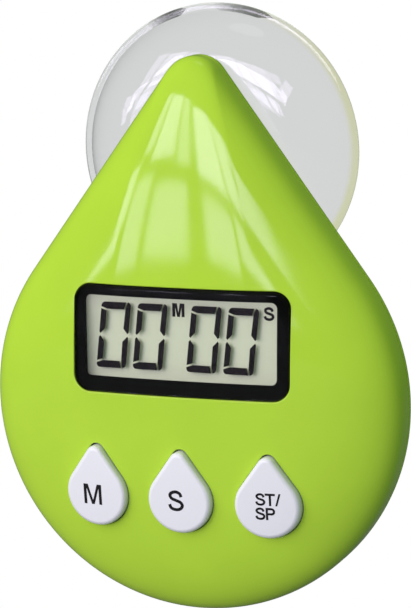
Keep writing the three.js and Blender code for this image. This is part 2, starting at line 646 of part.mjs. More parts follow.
function buzzerSpring(side) {
  const low = BOARD_BACK_Y + SEAT_GAP;
  const [onCeramic, onBrass] = BUZZER_SPRING.radius;
  const end = side < 0 ? CERAMIC_Y : BUZZER_Y;
  const high = end - BUZZER_SPRING.thick - SEAT_GAP;
  const x = side < 0 ? -onCeramic : onBrass;
  const half = BUZZER_SPRING.half;
  const points = [[-half, low], [-half / 2, low], [half / 2, high], [half, high]];
  return strip(points, BUZZER_SPRING.thick, BUZZER_SPRING.width, x, -BUZZER.drop);
}

// Screw: a flat round head over a plain shank where its thread is.
function screw(size, headBackY, x, z) {
  const headY = headBackY - size.headThick;
  const head = disc(size.head, headY, headBackY, x, z, SMALL);
  return head.add(disc(size.shank, headY - size.length, headY, x, z, SMALL));
}

// The cross in the head of a screw that shows.
function crossRecess(size, headBackY, x, z) {
  const front = headBackY - size.headThick / 2;
  const across = slab(size.head, size.shank / 2, front, REACH, x, z);
  return across.add(slab(size.shank / 2, size.head, front, REACH, x, z));
}

// Suction cup: profile from the neck's head over the bell to the rim, and back under the hollow.
function suctionCup() {
  const bell = CUP.radius - CUP.flat;
  const outside = new THREE.QuadraticBezierCurve(
    new THREE.Vector2(CUP_STUD.neck, -CUP.height),
    new THREE.Vector2(CUP.radius * CUP.swell, -CUP.height),
    new THREE.Vector2(CUP.radius, -CUP.rim),
  );
  const inside = new THREE.QuadraticBezierCurve(
    new THREE.Vector2(bell, 0),
    new THREE.Vector2(bell * CUP.swell, -CUP.hollow),
    new THREE.Vector2(0, -CUP.hollow),
  );
  const headBack = HEAD_BACK_Y - CUP_STANDOFF;
  const profile = [
    [0, headBack - CUP_STUD.thick],
    [CUP_STUD.head, headBack - CUP_STUD.thick],
    [CUP_STUD.head, headBack],
    [CUP_STUD.neck, headBack],
    ...outside.getPoints(CUP_STEPS).map((p) => [p.x, p.y]),
    [CUP.radius, 0],
    ...inside.getPoints(CUP_STEPS).map((p) => [p.x, p.y]),
  ];
  return turned(profile, 0, 0, FINE);
}

const finish = (color, roughness, metalness = 0) => ({ color, roughness, metalness });
const GREEN = finish(0xa9d231, 0.25);
const WHITE = finish(0xe6e4ee, 0.35);
const BLACK = finish(0x101012, 0.2);
const CLEAR = { ...finish(0xe4e8e6, 0.08), transparent: true, opacity: 0.35 };
const GLASS = finish(0xb9bfa6, 0.3);
const RUBBER = finish(0x3a3a3c, 0.8);
const SILICONE = finish(0xc9ccd0, 0.7);
const BOARD_GREEN = finish(0x2f6b3a, 0.5);
const STEEL = finish(0xb8bcc0, 0.35, 1);
const BRASS = finish(0xc8a552, 0.35, 1);
const CERAMIC = finish(0xe8e2d4, 0.6);
const CHIP_BROWN = finish(0x8a6b4a, 0.6);

function named(name, solid, look) {
  const mesh = new THREE.Mesh(geometryOf(solid), new THREE.MeshStandardMaterial(look));
  mesh.name = name;
  return mesh;
}

const timerCase = new THREE.Group();
timerCase.position.set(0, -CUP_STANDOFF, -CUP_RISE);
timerCase.add(
  named('front_case', frontCase(), GREEN),
  named('rear_cover', rearCover(), GREEN),
  named('case_seal', caseSeal(), RUBBER),
  named('display_lens', displayLens(), CLEAR),
  named('display_mask', displayMask(), BLACK),
  named('display_panel', displayPanel(), GLASS),
  named('connector_upper', connector(1), RUBBER),
  named('connector_lower', connector(-1), RUBBER),
  named('circuit_board', circuitBoard(), BOARD_GREEN),
  named('chip_blob', chipBlob(), BLACK),
  named('quartz_crystal', crystal(), STEEL),
  named('coin_cell', coinCell(), STEEL),
  named('contact_negative', contactNegative(), STEEL),
  named('contact_positive', contactPositive(), STEEL),
  named('battery_door', batteryDoor(), GREEN),
  named('door_seal', doorSeal(), RUBBER),
  named('buzzer_disc', disc(BUZZER.radius, BUZZER_Y, BUZZER_Y + BUZZER.thick, 0, -BUZZER.drop), BRASS),
  named('buzzer_ceramic', disc(BUZZER.ceramic, CERAMIC_Y, BUZZER_Y, 0, -BUZZER.drop), CERAMIC),
  named('buzzer_spring_left', buzzerSpring(-1), STEEL),
  named('buzzer_spring_right', buzzerSpring(1), STEEL),
);
BUTTON_NAMES.forEach((name, number) => {
  timerCase.add(named(`button_${name}`, button(number), WHITE));
  timerCase.add(named(`key_dome_${name}`, keyDome(number), SILICONE));
});
CAPACITOR.z.forEach((z, i) => timerCase.add(named(`capacitor_${i + 1}`, chipPart(CAPACITOR, z), CHIP_BROWN)));
RESISTOR.z.forEach((z, i) => timerCase.add(named(`resistor_${i + 1}`, chipPart(RESISTOR, z), BLACK)));
CASE_SCREWS.forEach(([x, z], i) => {
  const whole = screw(CASE_SCREW, -CASE_SCREW.sink, x, z);
  const cut = whole.subtract(crossRecess(CASE_SCREW, -CASE_SCREW.sink, x, z));
  timerCase.add(named(`case_screw_${i + 1}`, cut, STEEL));
});
BOARD_SCREWS.forEach(([x, z], i) => {
  const headBack = BOARD_BACK_Y + SEAT_GAP + BOARD_SCREW.headThick;
  timerCase.add(named(`board_screw_${i + 1}`, screw(BOARD_SCREW, headBack, x, z), STEEL));
});

const timer = new THREE.Group();
timer.add(timerCase, named('suction_cup', suctionCup(), CLEAR));

export default timer;
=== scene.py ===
import json
import math
from collections import namedtuple
from functools import partial

import bmesh
import bpy
import numpy as np
from mathutils import Matrix, Quaternion, Vector
from mathutils.geometry import delaunay_2d_cdt


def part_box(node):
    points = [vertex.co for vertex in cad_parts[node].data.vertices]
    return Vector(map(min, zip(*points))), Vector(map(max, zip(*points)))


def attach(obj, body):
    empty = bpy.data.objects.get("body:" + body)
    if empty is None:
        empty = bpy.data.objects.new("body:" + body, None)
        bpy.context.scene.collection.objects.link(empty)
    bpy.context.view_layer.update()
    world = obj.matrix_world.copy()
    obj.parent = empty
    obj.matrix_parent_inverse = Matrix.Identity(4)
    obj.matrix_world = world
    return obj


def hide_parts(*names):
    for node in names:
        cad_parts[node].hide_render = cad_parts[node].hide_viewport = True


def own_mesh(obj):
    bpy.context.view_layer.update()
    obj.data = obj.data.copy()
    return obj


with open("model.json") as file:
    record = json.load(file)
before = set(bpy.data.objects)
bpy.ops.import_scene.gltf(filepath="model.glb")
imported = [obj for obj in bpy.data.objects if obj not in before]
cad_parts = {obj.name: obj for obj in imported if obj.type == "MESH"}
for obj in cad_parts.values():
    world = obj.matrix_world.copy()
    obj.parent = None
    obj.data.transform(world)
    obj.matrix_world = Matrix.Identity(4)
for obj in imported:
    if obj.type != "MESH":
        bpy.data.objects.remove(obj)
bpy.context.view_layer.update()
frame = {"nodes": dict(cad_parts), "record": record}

MM = 0.001


def packed_box(node):
    """Lowest and highest corner of a CAD node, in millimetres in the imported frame."""
    low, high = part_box(node)
    return np.array(low) / MM, np.array(high) / MM


BULB = packed_box("front_case")[1][0]
ORIGIN = np.array([0.0, packed_box("rear_cover")[1][1], packed_box("front_case")[0][2] + BULB])


def box_of(node):
    """Lowest and highest corner of a CAD node in the case's frame."""
    low, high = packed_box(node)
    return low - ORIGIN, high - ORIGIN


# Case: the front is a dome over a drop-shaped rim.
case_low, case_high = box_of("front_case")
APEX = case_low[1]
SEAM = case_high[1]
TIP = 4.95
FLANK = math.asin((BULB - TIP) / (case_high[2] - TIP))
RIM = -3.3
DOME_FLATNESS = 2.1
DOME_FULLNESS = 3
TIP_BLEND = 2
CAP_SCALE = 0.86
FRONT_WALL = 2.0
SIDE_WALL = 2.0
REAR_THICK = 2.0
REAR_EDGE = 1.2
SEAM_EDGE = 0.2
HOLE_EDGE = 0.2

# Display: a lens, a black border with a window, and the panel in layers.
lens_low, lens_high = box_of("display_lens")
LENS_SIZE = (lens_high[0] - lens_low[0], lens_high[2] - lens_low[2])
LENS_RISE = (lens_high[2] + lens_low[2]) / 2
LENS_CORNER = 2.7
LENS_PROUD = 0.45
LENS_BACK = 0.55
LENS_EDGE = 0.5
LENS_GAP = 0.12
LENS_SEAT = 0.95
LENS_EASE = 0.4
MASK_FRONT = 0.6
MASK_BACK = 0.9
# Offsets of the inner and outer faces of the border's skirt, and of its thin lip round the lens.
MASK_SKIRT = (0.95, 1.15)
MASK_LIP = (0.02, 0.1)
BORDER_WIDTHS = (3.9, 4.1)
WINDOW_SIZE = (LENS_SIZE[0] - BORDER_WIDTHS[0], LENS_SIZE[1] - BORDER_WIDTHS[1])
WINDOW_SHIFT = -0.2
WINDOW_RISE = LENS_RISE + 0.35
WINDOW_CORNER = 1.0
TUNNEL_MARGIN = 1.2
panel_low, panel_high = box_of("display_panel")
PANEL_SIZE = (panel_high[0] - panel_low[0], panel_high[2] - panel_low[2])
PANEL_CORNER = 0.3
PANEL_FRONT = panel_low[1]
PANEL_BACK = panel_high[1]
FILM_THICK = 0.06
REFLECTOR_DEPTH = 0.87
INK = 0.03

# Digits: four slanted zeros of six bars each, in two pairs, and a small letter after each pair.
DIGIT_HALF_WIDTH = 2.56
DIGIT_HALF_HEIGHT = 5.43
DIGIT_BAR = 1.15
DIGIT_POST = 0.96
DIGIT_CORNER = 0.65
DIGIT_SLANT = math.radians(6.3)
DIGIT_PLACES = (-12.5, -6.17, 3.08, 9.4)
DIGIT_RISE = 11.0
MARK_HEIGHT = 2.2
MARKS = {"M": ((-2.25, 14.5), 0.23), "S": ((13.3, 14.6), 0.2)}

# Ends of a zero's upper bars: steps from where the bars' edges would cross, and the posts' pointed feet.
TOP_BAR_LEFT = 0.8
TOP_BAR_LOWER = ((0.1, -0.02), (-0.21, 0.0))
TOP_BAR_RIGHT = 0.09
RIGHT_POST_TOP = ((0.38, 0.0), (0.07, -0.03))
RIGHT_POST_FOOT = (1.08, (0.2, 0.2), 0.45)
LEFT_POST_TOP = (1.12, 0.31)
LEFT_POST_FOOT = (0.42, (0.24, 0.18), 1.06)

# Buttons, each with a flange and a stem inside, on a rubber dome.
BUTTON_NAMES = ("minutes", "seconds", "start_stop")
BUTTON_TIP = 1.48
BUTTON_FLANK = math.radians(35.4)
BUTTON_PROUD = 1.45
BUTTON_EDGE = 0.75
FLANGE = 0.9
FLANGE_FRONT = -9.85
FLANGE_BACK = -9.15
HOLE_GAP = 0.13
HOLE_TIP = 1.25
STEM_RADIUS = 1.7
KEY_SHOULDER = ((1.7, 0.0), (1.95, 0.08), (2.1, 0.3))
KEY_SKIRT = ((3.4, 0.6), (3.7, 0.5), (3.95, 0.45), (4.0, 0.3), (4.0, 0.0), (3.0, 0.0))
KEY_HOLLOW = 1.5
KEY_WALL = 0.5

# Rear cover, battery door and screws.
DOOR_GAP = 0.3
DOOR_SEAT = -1.45
DOOR_EDGE = 0.35
DOOR_THICK = 1.4
DOOR_SKIRT = (10.3, 11.5)
DOOR_POINTER = ((-1.0, 8.3), (1.0, 8.3), (0.0, 10.2))
POINTER_RAISE = 0.15
POINTER_SINK = 0.05
WELL_RADIUS = 11.9
COIN_SLOT = (15.0, 2.0)
SLOT_DEPTH = 0.8
SLOT_EDGE = 0.15
SOUND_HOLE = 0.7
SOUND_CIRCLE = 3.0
SOUND_COUNT = 6
SOUND_RISE = -22.0
SCREW_NAMES = tuple(f"case_screw_{number}" for number in range(1, 6))
SCREW_HOLE = 1.95
SCREW_SEAT = -1.1
SCREW_SHANK = 0.85
SCREW_POINT = 0.34
SCREW_HEAD_THICK = 0.9
SCREW_EDGE = 0.25
CROSS_MOUTH = (1.05, 0.36)
CROSS_FLOOR = (0.525, 0.252)
CROSS_DEPTH = 0.55
KEYHOLE_SLOT = 3.75
KEYHOLE_ENTRY = 5.6
KEYHOLE_DROP = 9.2
KEYHOLE_EDGE = 0.2
KEYHOLE_EASE = 0.06
POCKET_FLOOR = -4.8
POCKET_WALL = 1.1
POCKET_END = -5.6

# Suction cup. The head's edges are steps in from its side, and along from its front and its rear face.
CUP_FLAT = 1.2
CUP_HEIGHT = 7.9
CUP_HOLLOW = 5.5
CUP_FULLNESS = 5.5
CUP_HOLLOW_FULLNESS = 5
CUP_FOOT = 1.3
CUP_BEAD = (0.65, 0.75)
CUP_BEAD_START = math.radians(-63)
CUP_NECK = 3.5
CUP_NECK_EDGE = 0.2
CUP_HEAD = 5.0
CUP_HEAD_THICK = 2.2
CUP_HEAD_FRONT = ((0.8, 0.0), (0.25, 0.25), (0.0, 0.8))
CUP_HEAD_REAR = ((0.0, 0.5), (0.3, 0.1), (0.6, 0.0))
CUP_SHARP = 50.0

# Fineness: steps along edges and curves, points round circles, and the size of triangles.
EDGE_STEPS = 6
RIM_STEPS = 26
CASE_STEPS = (24, 30, 150)
BUTTON_STEPS = (14, 8, 56)
CORNER_STEPS = 12
SIDE_STEPS = 24
KEYHOLE_STEPS = 4
LETTER_STEPS = 6
BELL_STEPS = 40
BEAD_STEPS = 14
CUP_POINTS = 192
DOOR_POINTS = 96
KEY_POINTS = 48
SCREW_POINTS = 40
HOLE_POINTS = 32
DUCT_POINTS = 24
FRONT_GRID = 0.9
BUTTON_GRID = 0.45
LEGEND_GRID = 0.4
PANEL_GRID = 4.0
BAR_GRID = 0.6
MARK_GRID = 0.3
REAR_GRID = 3.0
REAR_INNER_GRID = 4.0
DOOR_GRID = 2.0
POINTER_GRID = 1.0
SCREW_GRID = 0.5
GRID_CLEARANCE = 0.55
SHARP = 32.0
QUARTER_TURNS = [math.pi / 2 * step / EDGE_STEPS for step in range(1, EDGE_STEPS + 1)]

# Colours and clear plastics. The cup's grey is painted shade, standing for the darker backdrop seen through
# the clear cup. Its rim turns yellowish on the right over these radii and widths, which is painted light for
# the pale light that the rim bends in there.
LIME = (0.465, 0.705, 0.05)
WARM_WHITE = (0.876, 0.856, 0.922)
PANEL_GREY = (0.735, 0.797, 0.612)
PRINT_BLACK = (0.0018, 0.002, 0.0018)
SEGMENT_DARK = (0.012, 0.0095, 0.0125)
LEGEND_DARK = (0.014, 0.013, 0.015)
# Painted shade and painted light of the clear cup: its grey, and its rim's yellowish right side.
CUP_PAINTED_GREY = (0.69, 0.70, 0.70)
CUP_RIM_PAINTED_LIGHT = (0.63, 0.645, 0.45)
CUP_RIM_LIGHT_REACH = (22.3, 23.0)
CUP_RIM_LIGHT_SIDE = (3.0, 19.0)
PLASTIC_INDEX = 1.46
CUP_INDEX = 1.42
LENS_INDEX = 1.28
FILM_INDEX = 1.1
NOISE_SPAN = (0.3, 0.7)

# Camera, at the photograph's viewing angle in degrees. The focal length is in pixels of its frame.
VIEW_AZIMUTH = 20.478
VIEW_ELEVATION = 9.972
VIEW_ROLL = -0.885
VIEW_DISTANCE = 420.0
VIEW_TARGET = np.array([2.883, -8.0, 16.531])
VIEW_FOCAL = 2621.44
FRAME_LONG_SIDE = 608
SENSOR = 36.0
CLIP_START = 0.01

# Stage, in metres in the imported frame.
AIM = np.array([0.0, -0.015, -0.03])
# The window is a little violet and the room a little green, and white surfaces stay white in the sum.
WINDOW_TINT = (1.0, 0.89, 1.16)
FILL_TINT = (1.0, 0.975, 0.86)
ROOM_TINT = (0.86, 1.18, 0.93)
AMBIENT = 0.276
# Panes of the window: azimuths and elevations in degrees, how bright each is, and the slanted one's roll.
PANE_DISTANCE = 4.0
PANES = (
    ((-36, -31.8), (11.5, 26), 5.5),
    ((-30.6, -23.2), (9.9, 25), 7.2),
    ((-22.2, -18.6), (9, 24), 5.0),
    ((-16.6, -7.6), (8.2, 21.5), 8.0),
    ((-6.8, 2), (8.6, 20), 7.0),
    ((2.4, 4.2), (9.4, 20), 6.0),
    ((4.6, 8.4), (15.4, 20), 5.4),
    ((3.2, 16.0), (12.3, 16.1), 5.8, 45),
    ((-43.4, -36.2), (4.8, 10.4), 6.0),
    ((-42.6, -38.6), (2.4, 4.8), 6.2),
    ((-34.6, -28), (0.4, 8.2), 4.8),
    ((-26.6, -19.4), (0.8, 7.0), 4.9),
    ((-16.2, -8), (1.2, 6.4), 5.4),
    ((-6.6, 0.6), (2.8, 6.9), 5.4),
)
# Soft lights: azimuth and elevation in degrees, and what each adds on a surface that faces it.
FILLS = {"fill_above": (-36, 33, 0.55), "fill_behind": (180, 40, 0.4)}
FILL_DISTANCE = 1.5
FILL_SIZE = 1.2
# Dark walls that the gloss mirrors, by their elevations in degrees.
WALLS = {"wall_low": (-90, 0), "wall_high": (0, 80)}
ROOM_RADIUS = 4.3
ROOM_SHADE = (0.15, 0.15, 0.15)
ROOM_STEPS = (20, 40)
# Dark cards just behind the cup's rim, seen only through the clear cup: painted shade for the dark streaks
# that the rim bends in from the dark room. They are set by their angles from its top in degrees. Their
# lengths are in millimetres.
RIM_SHADE_CARDS = {"rim_shade_right": (-4, 29), "rim_shade_left": (-33, -12)}
CARD_REACH = (22.3, 23.9)
CARD_GAP = 0.3
CARD_TAPER = 0.7
CARD_LEAN = 1.3
CARD_FADE = 0.8
CARD_SHADE = (0.15, 0.165, 0.14)
CARD_STEPS = 20
FLOOR_DROP = 0.3
FLOOR_RADIUS = 0.45
FLOOR_POINTS = 96
FLOOR_PALE = ((0.86, 0.86, 0.86), (0.9, 0.9, 0.9))
FLOOR_CLOUD = 40
FLOOR_GLOW = 0.62
FLOOR_UNSEEN = (0.12, 0.12, 0.12)
WALL_RISE = 0.01


def arc(x, z, radius, start, end, steps):
    """Points along part of a circle, both ends included."""
    angles = np.linspace(start, end, steps + 1)
    return np.column_stack([x + radius * np.cos(angles), z + radius * np.sin(angles)])


def between(first, second, steps):
    """Points that divide a straight line, without its ends."""
    shares = np.linspace(0, 1, steps + 1)[1:-1, None]
    return first + (second - first) * shares


def circle(x, z, radius, steps):
    return arc(x, z, radius, 0, 2 * math.pi, steps)[:-1]


def drop(bulb, flank, tip, steps, grow=0.0):
    """Outline of a drop grown by an offset: round tip, left flank, round bulb, right flank."""
    tip_steps, flank_steps, bulb_steps = steps
    rise = (bulb - tip) / math.sin(flank)
    top = arc(0, rise, tip + grow, flank, math.pi - flank, tip_steps)
    bottom = arc(0, 0, bulb + grow, math.pi - flank, 2 * math.pi + flank, bulb_steps)
    left = between(top[-1], bottom[0], flank_steps)
    right = between(bottom[-1], top[0], flank_steps)
    return np.vstack([top, left, bottom, right])


def rounded_rectangle(size, corner, rise, grow=0.0):
    """Outline of a rectangle with round corners, grown by an offset, centred on x = 0."""
    across = size[0] / 2 - corner
    up = size[1] / 2 - corner
    middles = ((across, up), (-across, up), (-across, -up), (across, -up))
    corners = [arc(x, rise + z, corner + grow, i * math.pi / 2, (i + 1) * math.pi / 2, CORNER_STEPS)
               for i, (x, z) in enumerate(middles)]
    outline = []
    for here, after in zip(corners, corners[1:] + corners[:1]):
        outline += [here, between(here[-1], after[0], SIDE_STEPS)]
    return np.vstack(outline)


def stadium(length, width, rise, grow=0.0):
    """Outline of a level slot with round ends."""
    radius = width / 2
    across = length / 2 - radius
    right = arc(across, rise, radius + grow, -math.pi / 2, math.pi / 2, CORNER_STEPS)
    left = arc(-across, rise, radius + grow, math.pi / 2, 3 * math.pi / 2, CORNER_STEPS)
    return np.vstack([right, left])


def outward(outline):
    """Unit vectors that point out of an outline, in the plane of X and Z."""
    along = np.roll(outline, -1, axis=0) - np.roll(outline, 1, axis=0)
    return unit(np.column_stack([along[:, 1], -along[:, 0]]))


def unit(vectors):
    return vectors / np.linalg.norm(vectors, axis=1)[:, None]


def contour_sizes(scale):
    """Bulb and tip of the dome's outline at a share of the rim's size, rounder towards the middle."""
    bulb = BULB * scale
    return bulb, bulb * (1 - (1 - TIP / BULB) * scale ** TIP_BLEND)


def dome_contour(scale):
    bulb, tip = contour_sizes(scale)
    return drop(bulb, FLANK, tip, CASE_STEPS)


def beyond(side, z, scale):
    """How far points lie outside the dome's outline of that scale."""
    bulb, tip = contour_sizes(scale)
    rise = (bulb - tip) / math.sin(FLANK)
    past_flank = side * math.cos(FLANK) + z * math.sin(FLANK) - bulb
    past_tip = np.hypot(side, z - rise) - tip
    upper = np.where(np.arctan2(z - rise, side) >= FLANK, past_tip, past_flank)
    return np.where(np.arctan2(z, side) <= FLANK, np.hypot(side, z) - bulb, upper)


def dome_scale(outline, largest=1.05, halvings=45):
    """Which of the dome's outlines, as a share of the rim's, passes through each point."""
    side = np.abs(outline[:, 0])
    z = outline[:, 1]
    low = np.zeros(len(outline))
    high = np.full(len(outline), largest)
    for _ in range(halvings):
        middle = (low + high) / 2
        outside = beyond(side, z, middle) > 0
        low = np.where(outside, middle, low)
        high = np.where(outside, high, middle)
    return (low + high) / 2


def dome(outline):
    """Depth of the dome's surface at each point."""
    room = np.clip(1 - dome_scale(outline) ** DOME_FLATNESS, 0, 1)
    return RIM + (APEX - RIM) * room ** (1 / DOME_FULLNESS)


def dome_normals(outline, step=0.01):
    """Unit vectors square to the dome's surface, pointing out of the case."""
    scale = np.clip(dome_scale(outline), 0, 1)
    room = 1 - scale ** DOME_FLATNESS
    slope_x = (dome_scale(outline + (step, 0)) - dome_scale(outline - (step, 0))) / (2 * step)
    slope_z = (dome_scale(outline + (0, step)) - dome_scale(outline - (0, step))) / (2 * step)
    steep = (RIM - APEX) * DOME_FLATNESS / DOME_FULLNESS * scale ** (DOME_FLATNESS - 1)
    return unit(np.column_stack([steep * slope_x, -room ** (1 - 1 / DOME_FULLNESS), steep * slope_z]))


def eased(outline):
    """Points where the dome is read for the lens, which bends less from top to bottom than the case."""
    return np.column_stack([outline[:, 0], LENS_RISE + (outline[:, 1] - LENS_RISE) * (1 - LENS_EASE)])


def lens_depth(outline):
    return dome(eased(outline))


def lens_normals(outline):
    return unit(dome_normals(eased(outline)) * (1, 1, 1 - LENS_EASE))


DOME = (dome, dome_normals)
LENS_FACE = (lens_depth, lens_normals)


def case_outline(grow):
    return drop(BULB, FLANK, TIP, CASE_STEPS, grow)


def lens_outline(grow):
    return rounded_rectangle(LENS_SIZE, LENS_CORNER, LENS_RISE, grow)


def window_outline(grow):
    return rounded_rectangle(WINDOW_SIZE, WINDOW_CORNER, WINDOW_RISE, grow) + (WINDOW_SHIFT, 0)


def button_place(name):
    """Middle of a button's bulb, and the bulb's radius, from its CAD node with the flange round it."""
    low, high = box_of("button_" + name)
    bulb = (high[0] - low[0]) / 2 - FLANGE
    return (high[0] + low[0]) / 2, low[2] + FLANGE + bulb, bulb


def button_outline(name, grow, tip=BUTTON_TIP):
    x, z, bulb = button_place(name)
    return drop(bulb, BUTTON_FLANK, tip, BUTTON_STEPS, grow) + (x, z)


def hole_outline(name, grow):
    """A button's hole, which runs to a sharper tip than the button."""
    return button_outline(name, grow, HOLE_TIP)


def flat_edge(edge, size=0.0, face=0.0):
    """Sizes and depths of a rounded edge on a flat rear face, from the face to its wall."""
    return [(size - edge * (1 - math.sin(turn)), face - edge * (1 - math.cos(turn)))
            for turn in QUARTER_TURNS]


Flat = namedtuple("Flat", "points triangles loops")


def inside(points, loops):
    """Which points lie inside the first loop and in none of the others."""
    crossings = np.zeros(len(points), int)
    x, z = points.T
    for loop in loops:
        for (x0, z0), (x1, z1) in zip(loop, np.roll(loop, -1, axis=0)):
            if z0 != z1:
                crosses = (z0 > z) != (z1 > z)
                crossings += crosses & (x < x0 + (z - z0) * (x1 - x0) / (z1 - z0))
    return crossings % 2 == 1


def triangle_grid(low, high, spacing):
    """Points of even triangles over a rectangle."""
    rows = np.arange(low[1], high[1], spacing * math.sqrt(3) / 2)
    places = np.arange(low[0], high[0], spacing)
    return np.vstack([np.column_stack([places + spacing / 2 * (i % 2), np.full(len(places), row)])
                      for i, row in enumerate(rows)])


def triangulate(loops, spacing, same_place=1e-7):
    """Fills the room between closed loops, the first outside and the rest holes, with triangles."""
    rim_points = np.vstack(loops)
    edges = []
    places = []
    for loop in loops:
        start = sum(len(place) for place in places)
        place = list(range(start, start + len(loop)))
        edges += list(zip(place, place[1:] + place[:1]))
        places.append(place)
    grid = triangle_grid(rim_points.min(0), rim_points.max(0), spacing)
    grid = grid[inside(grid, loops)]
    if len(grid):
        gaps = np.linalg.norm(grid[:, None] - rim_points[None], axis=2).min(1)
        grid = grid[gaps > spacing * GRID_CLEARANCE]
    points = np.vstack([rim_points, grid])
    made = delaunay_2d_cdt([Vector(p) for p in points], edges, [], 0, same_place)
    triangles = np.array([[made[3][corner][0] for corner in face] for face in made[2]])
    middles = points[triangles].mean(axis=1)
    return Flat(points, triangles[inside(middles, loops)], places)


def put(name, data):
    """Adds an object to the scene."""
    made = bpy.data.objects.new(name, data)
    bpy.context.scene.collection.objects.link(made)
    return made


class Shell:
    """Points and faces, joined up from rings and filled sheets, that become one piece."""

    def __init__(self):
        self.points = []
        self.normals = []
        self.faces = []
        self.fine = []

    def ring(self, outline, depth, normals=None):
        """Adds an outline of (x, z) points at a depth, and returns its points' numbers."""
        start = len(self.points)
        depths = np.broadcast_to(depth, len(outline))
        self.points.extend((x, y, z) for (x, z), y in zip(outline, depths))
        self.normals.extend(np.zeros((len(outline), 3)) if normals is None else normals)
        return list(range(start, len(self.points)))

    def rings(self, outline_at, steps):
        """Adds an outline that takes a size, at each size and depth of a list."""
        return [self.ring(outline_at(size), depth) for size, depth in steps]

    def face(self, corners, fine=False):
        """Adds a face. A fine one is shaded by its points' own normals."""
        self.faces.append(tuple(corners))
        self.fine.append(fine)

    def chain(self, rings, fine=False):
        """Joins each ring to the next one by a band of faces."""
        for first, second in zip(rings, rings[1:]):
            for i in range(len(first)):
                self.face((first[i - 1], first[i], second[i], second[i - 1]), fine)

    def closed_chain(self, rings):
        """Joins rings, and closes the last one by a face."""
        self.chain(rings)
        self.face(rings[-1])

    def sheet(self, flat, depth, normals=None, fine=False):
        """Adds a filled sheet at a depth, and returns its loops' points."""
        numbers = self.ring(flat.points, depth, normals)
        for triangle in flat.triangles:
            self.face([numbers[corner] for corner in triangle], fine)
        return [[numbers[corner] for corner in loop] for loop in flat.loops]

    def domed_sheet(self, flat, lift, surface=DOME, fine=True):
        """Adds a filled sheet that follows a domed surface at a distance from it."""
        depth_at, normals_at = surface
        return self.sheet(flat, depth_at(flat.points) + lift, normals_at(flat.points), fine)

    def plate(self, flat, front, back):
        """Adds a plate between two depths, with walls along its loops."""
        for first, second in zip(self.sheet(flat, front), self.sheet(flat, back)):
            self.chain([first, second])

    def dome_edge(self, outline_at, edge, lift=0.0, base=0.0, side=1, surface=DOME):
        """Rings of a rounded edge on the dome, from its face to its wall. side is -1 in a hole."""
        depth_at, normals_at = surface
        rings = []
        for turn in QUARTER_TURNS:
            outline = outline_at(base - side * edge * (1 - math.sin(turn)))
            out = side * math.sin(turn) * np.insert(outward(outline), 1, 0, axis=1)
            normals = math.cos(turn) * normals_at(outline) + out
            depth = depth_at(outline) + lift + edge * (1 - math.cos(turn))
            rings.append(self.ring(outline, depth, normals))
        return rings

    def turned(self, profile, x, z, steps):
        """Turns a profile of (radius, y), which starts and ends on the axis, about an axis along Y."""
        rings = []
        for radius, y in profile:
            if radius:
                rings.append(self.ring(circle(x, z, radius, steps), y))
            else:
                rings.append(self.ring(np.array([[x, z]]), y) * steps)
        for first, second in zip(rings, rings[1:]):
            for i in range(steps):
                corners = (first[i - 1], first[i], second[i], second[i - 1])
                self.face(tuple(dict.fromkeys(corners)))

    def piece(self, name, body, material, sharp=SHARP):
        """Makes the mesh, with faces turned outward and edges over an angle sharp, and rides it on a body."""
        mesh = bpy.data.meshes.new(name)
        mesh.from_pydata(((np.array(self.points) + ORIGIN) * MM).tolist(), [], self.faces)
        form = bmesh.new()
        form.from_mesh(mesh)
        bmesh.ops.recalc_face_normals(form, faces=form.faces)
        for face in form.faces:
            face.smooth = True
        for edge in form.edges:
            edge.smooth = edge.calc_face_angle(0.0) < math.radians(sharp)
        form.to_mesh(mesh)
        form.free()
        if any(self.fine):
            self.shade(mesh)
        mesh.materials.append(material)
        made = put(name, mesh)
        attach(made, body)
        return made

    def shade(self, mesh):
        """Gives the fine faces their points' normals, and leaves the others as they are."""
        corner_normals = np.zeros((len(mesh.loops), 3))
        for polygon in mesh.polygons:
            if self.fine[polygon.index]:
                for loop in polygon.loop_indices:
                    corner_normals[loop] = self.normals[mesh.loops[loop].vertex_index]
        mesh.normals_split_custom_set(corner_normals.tolist())


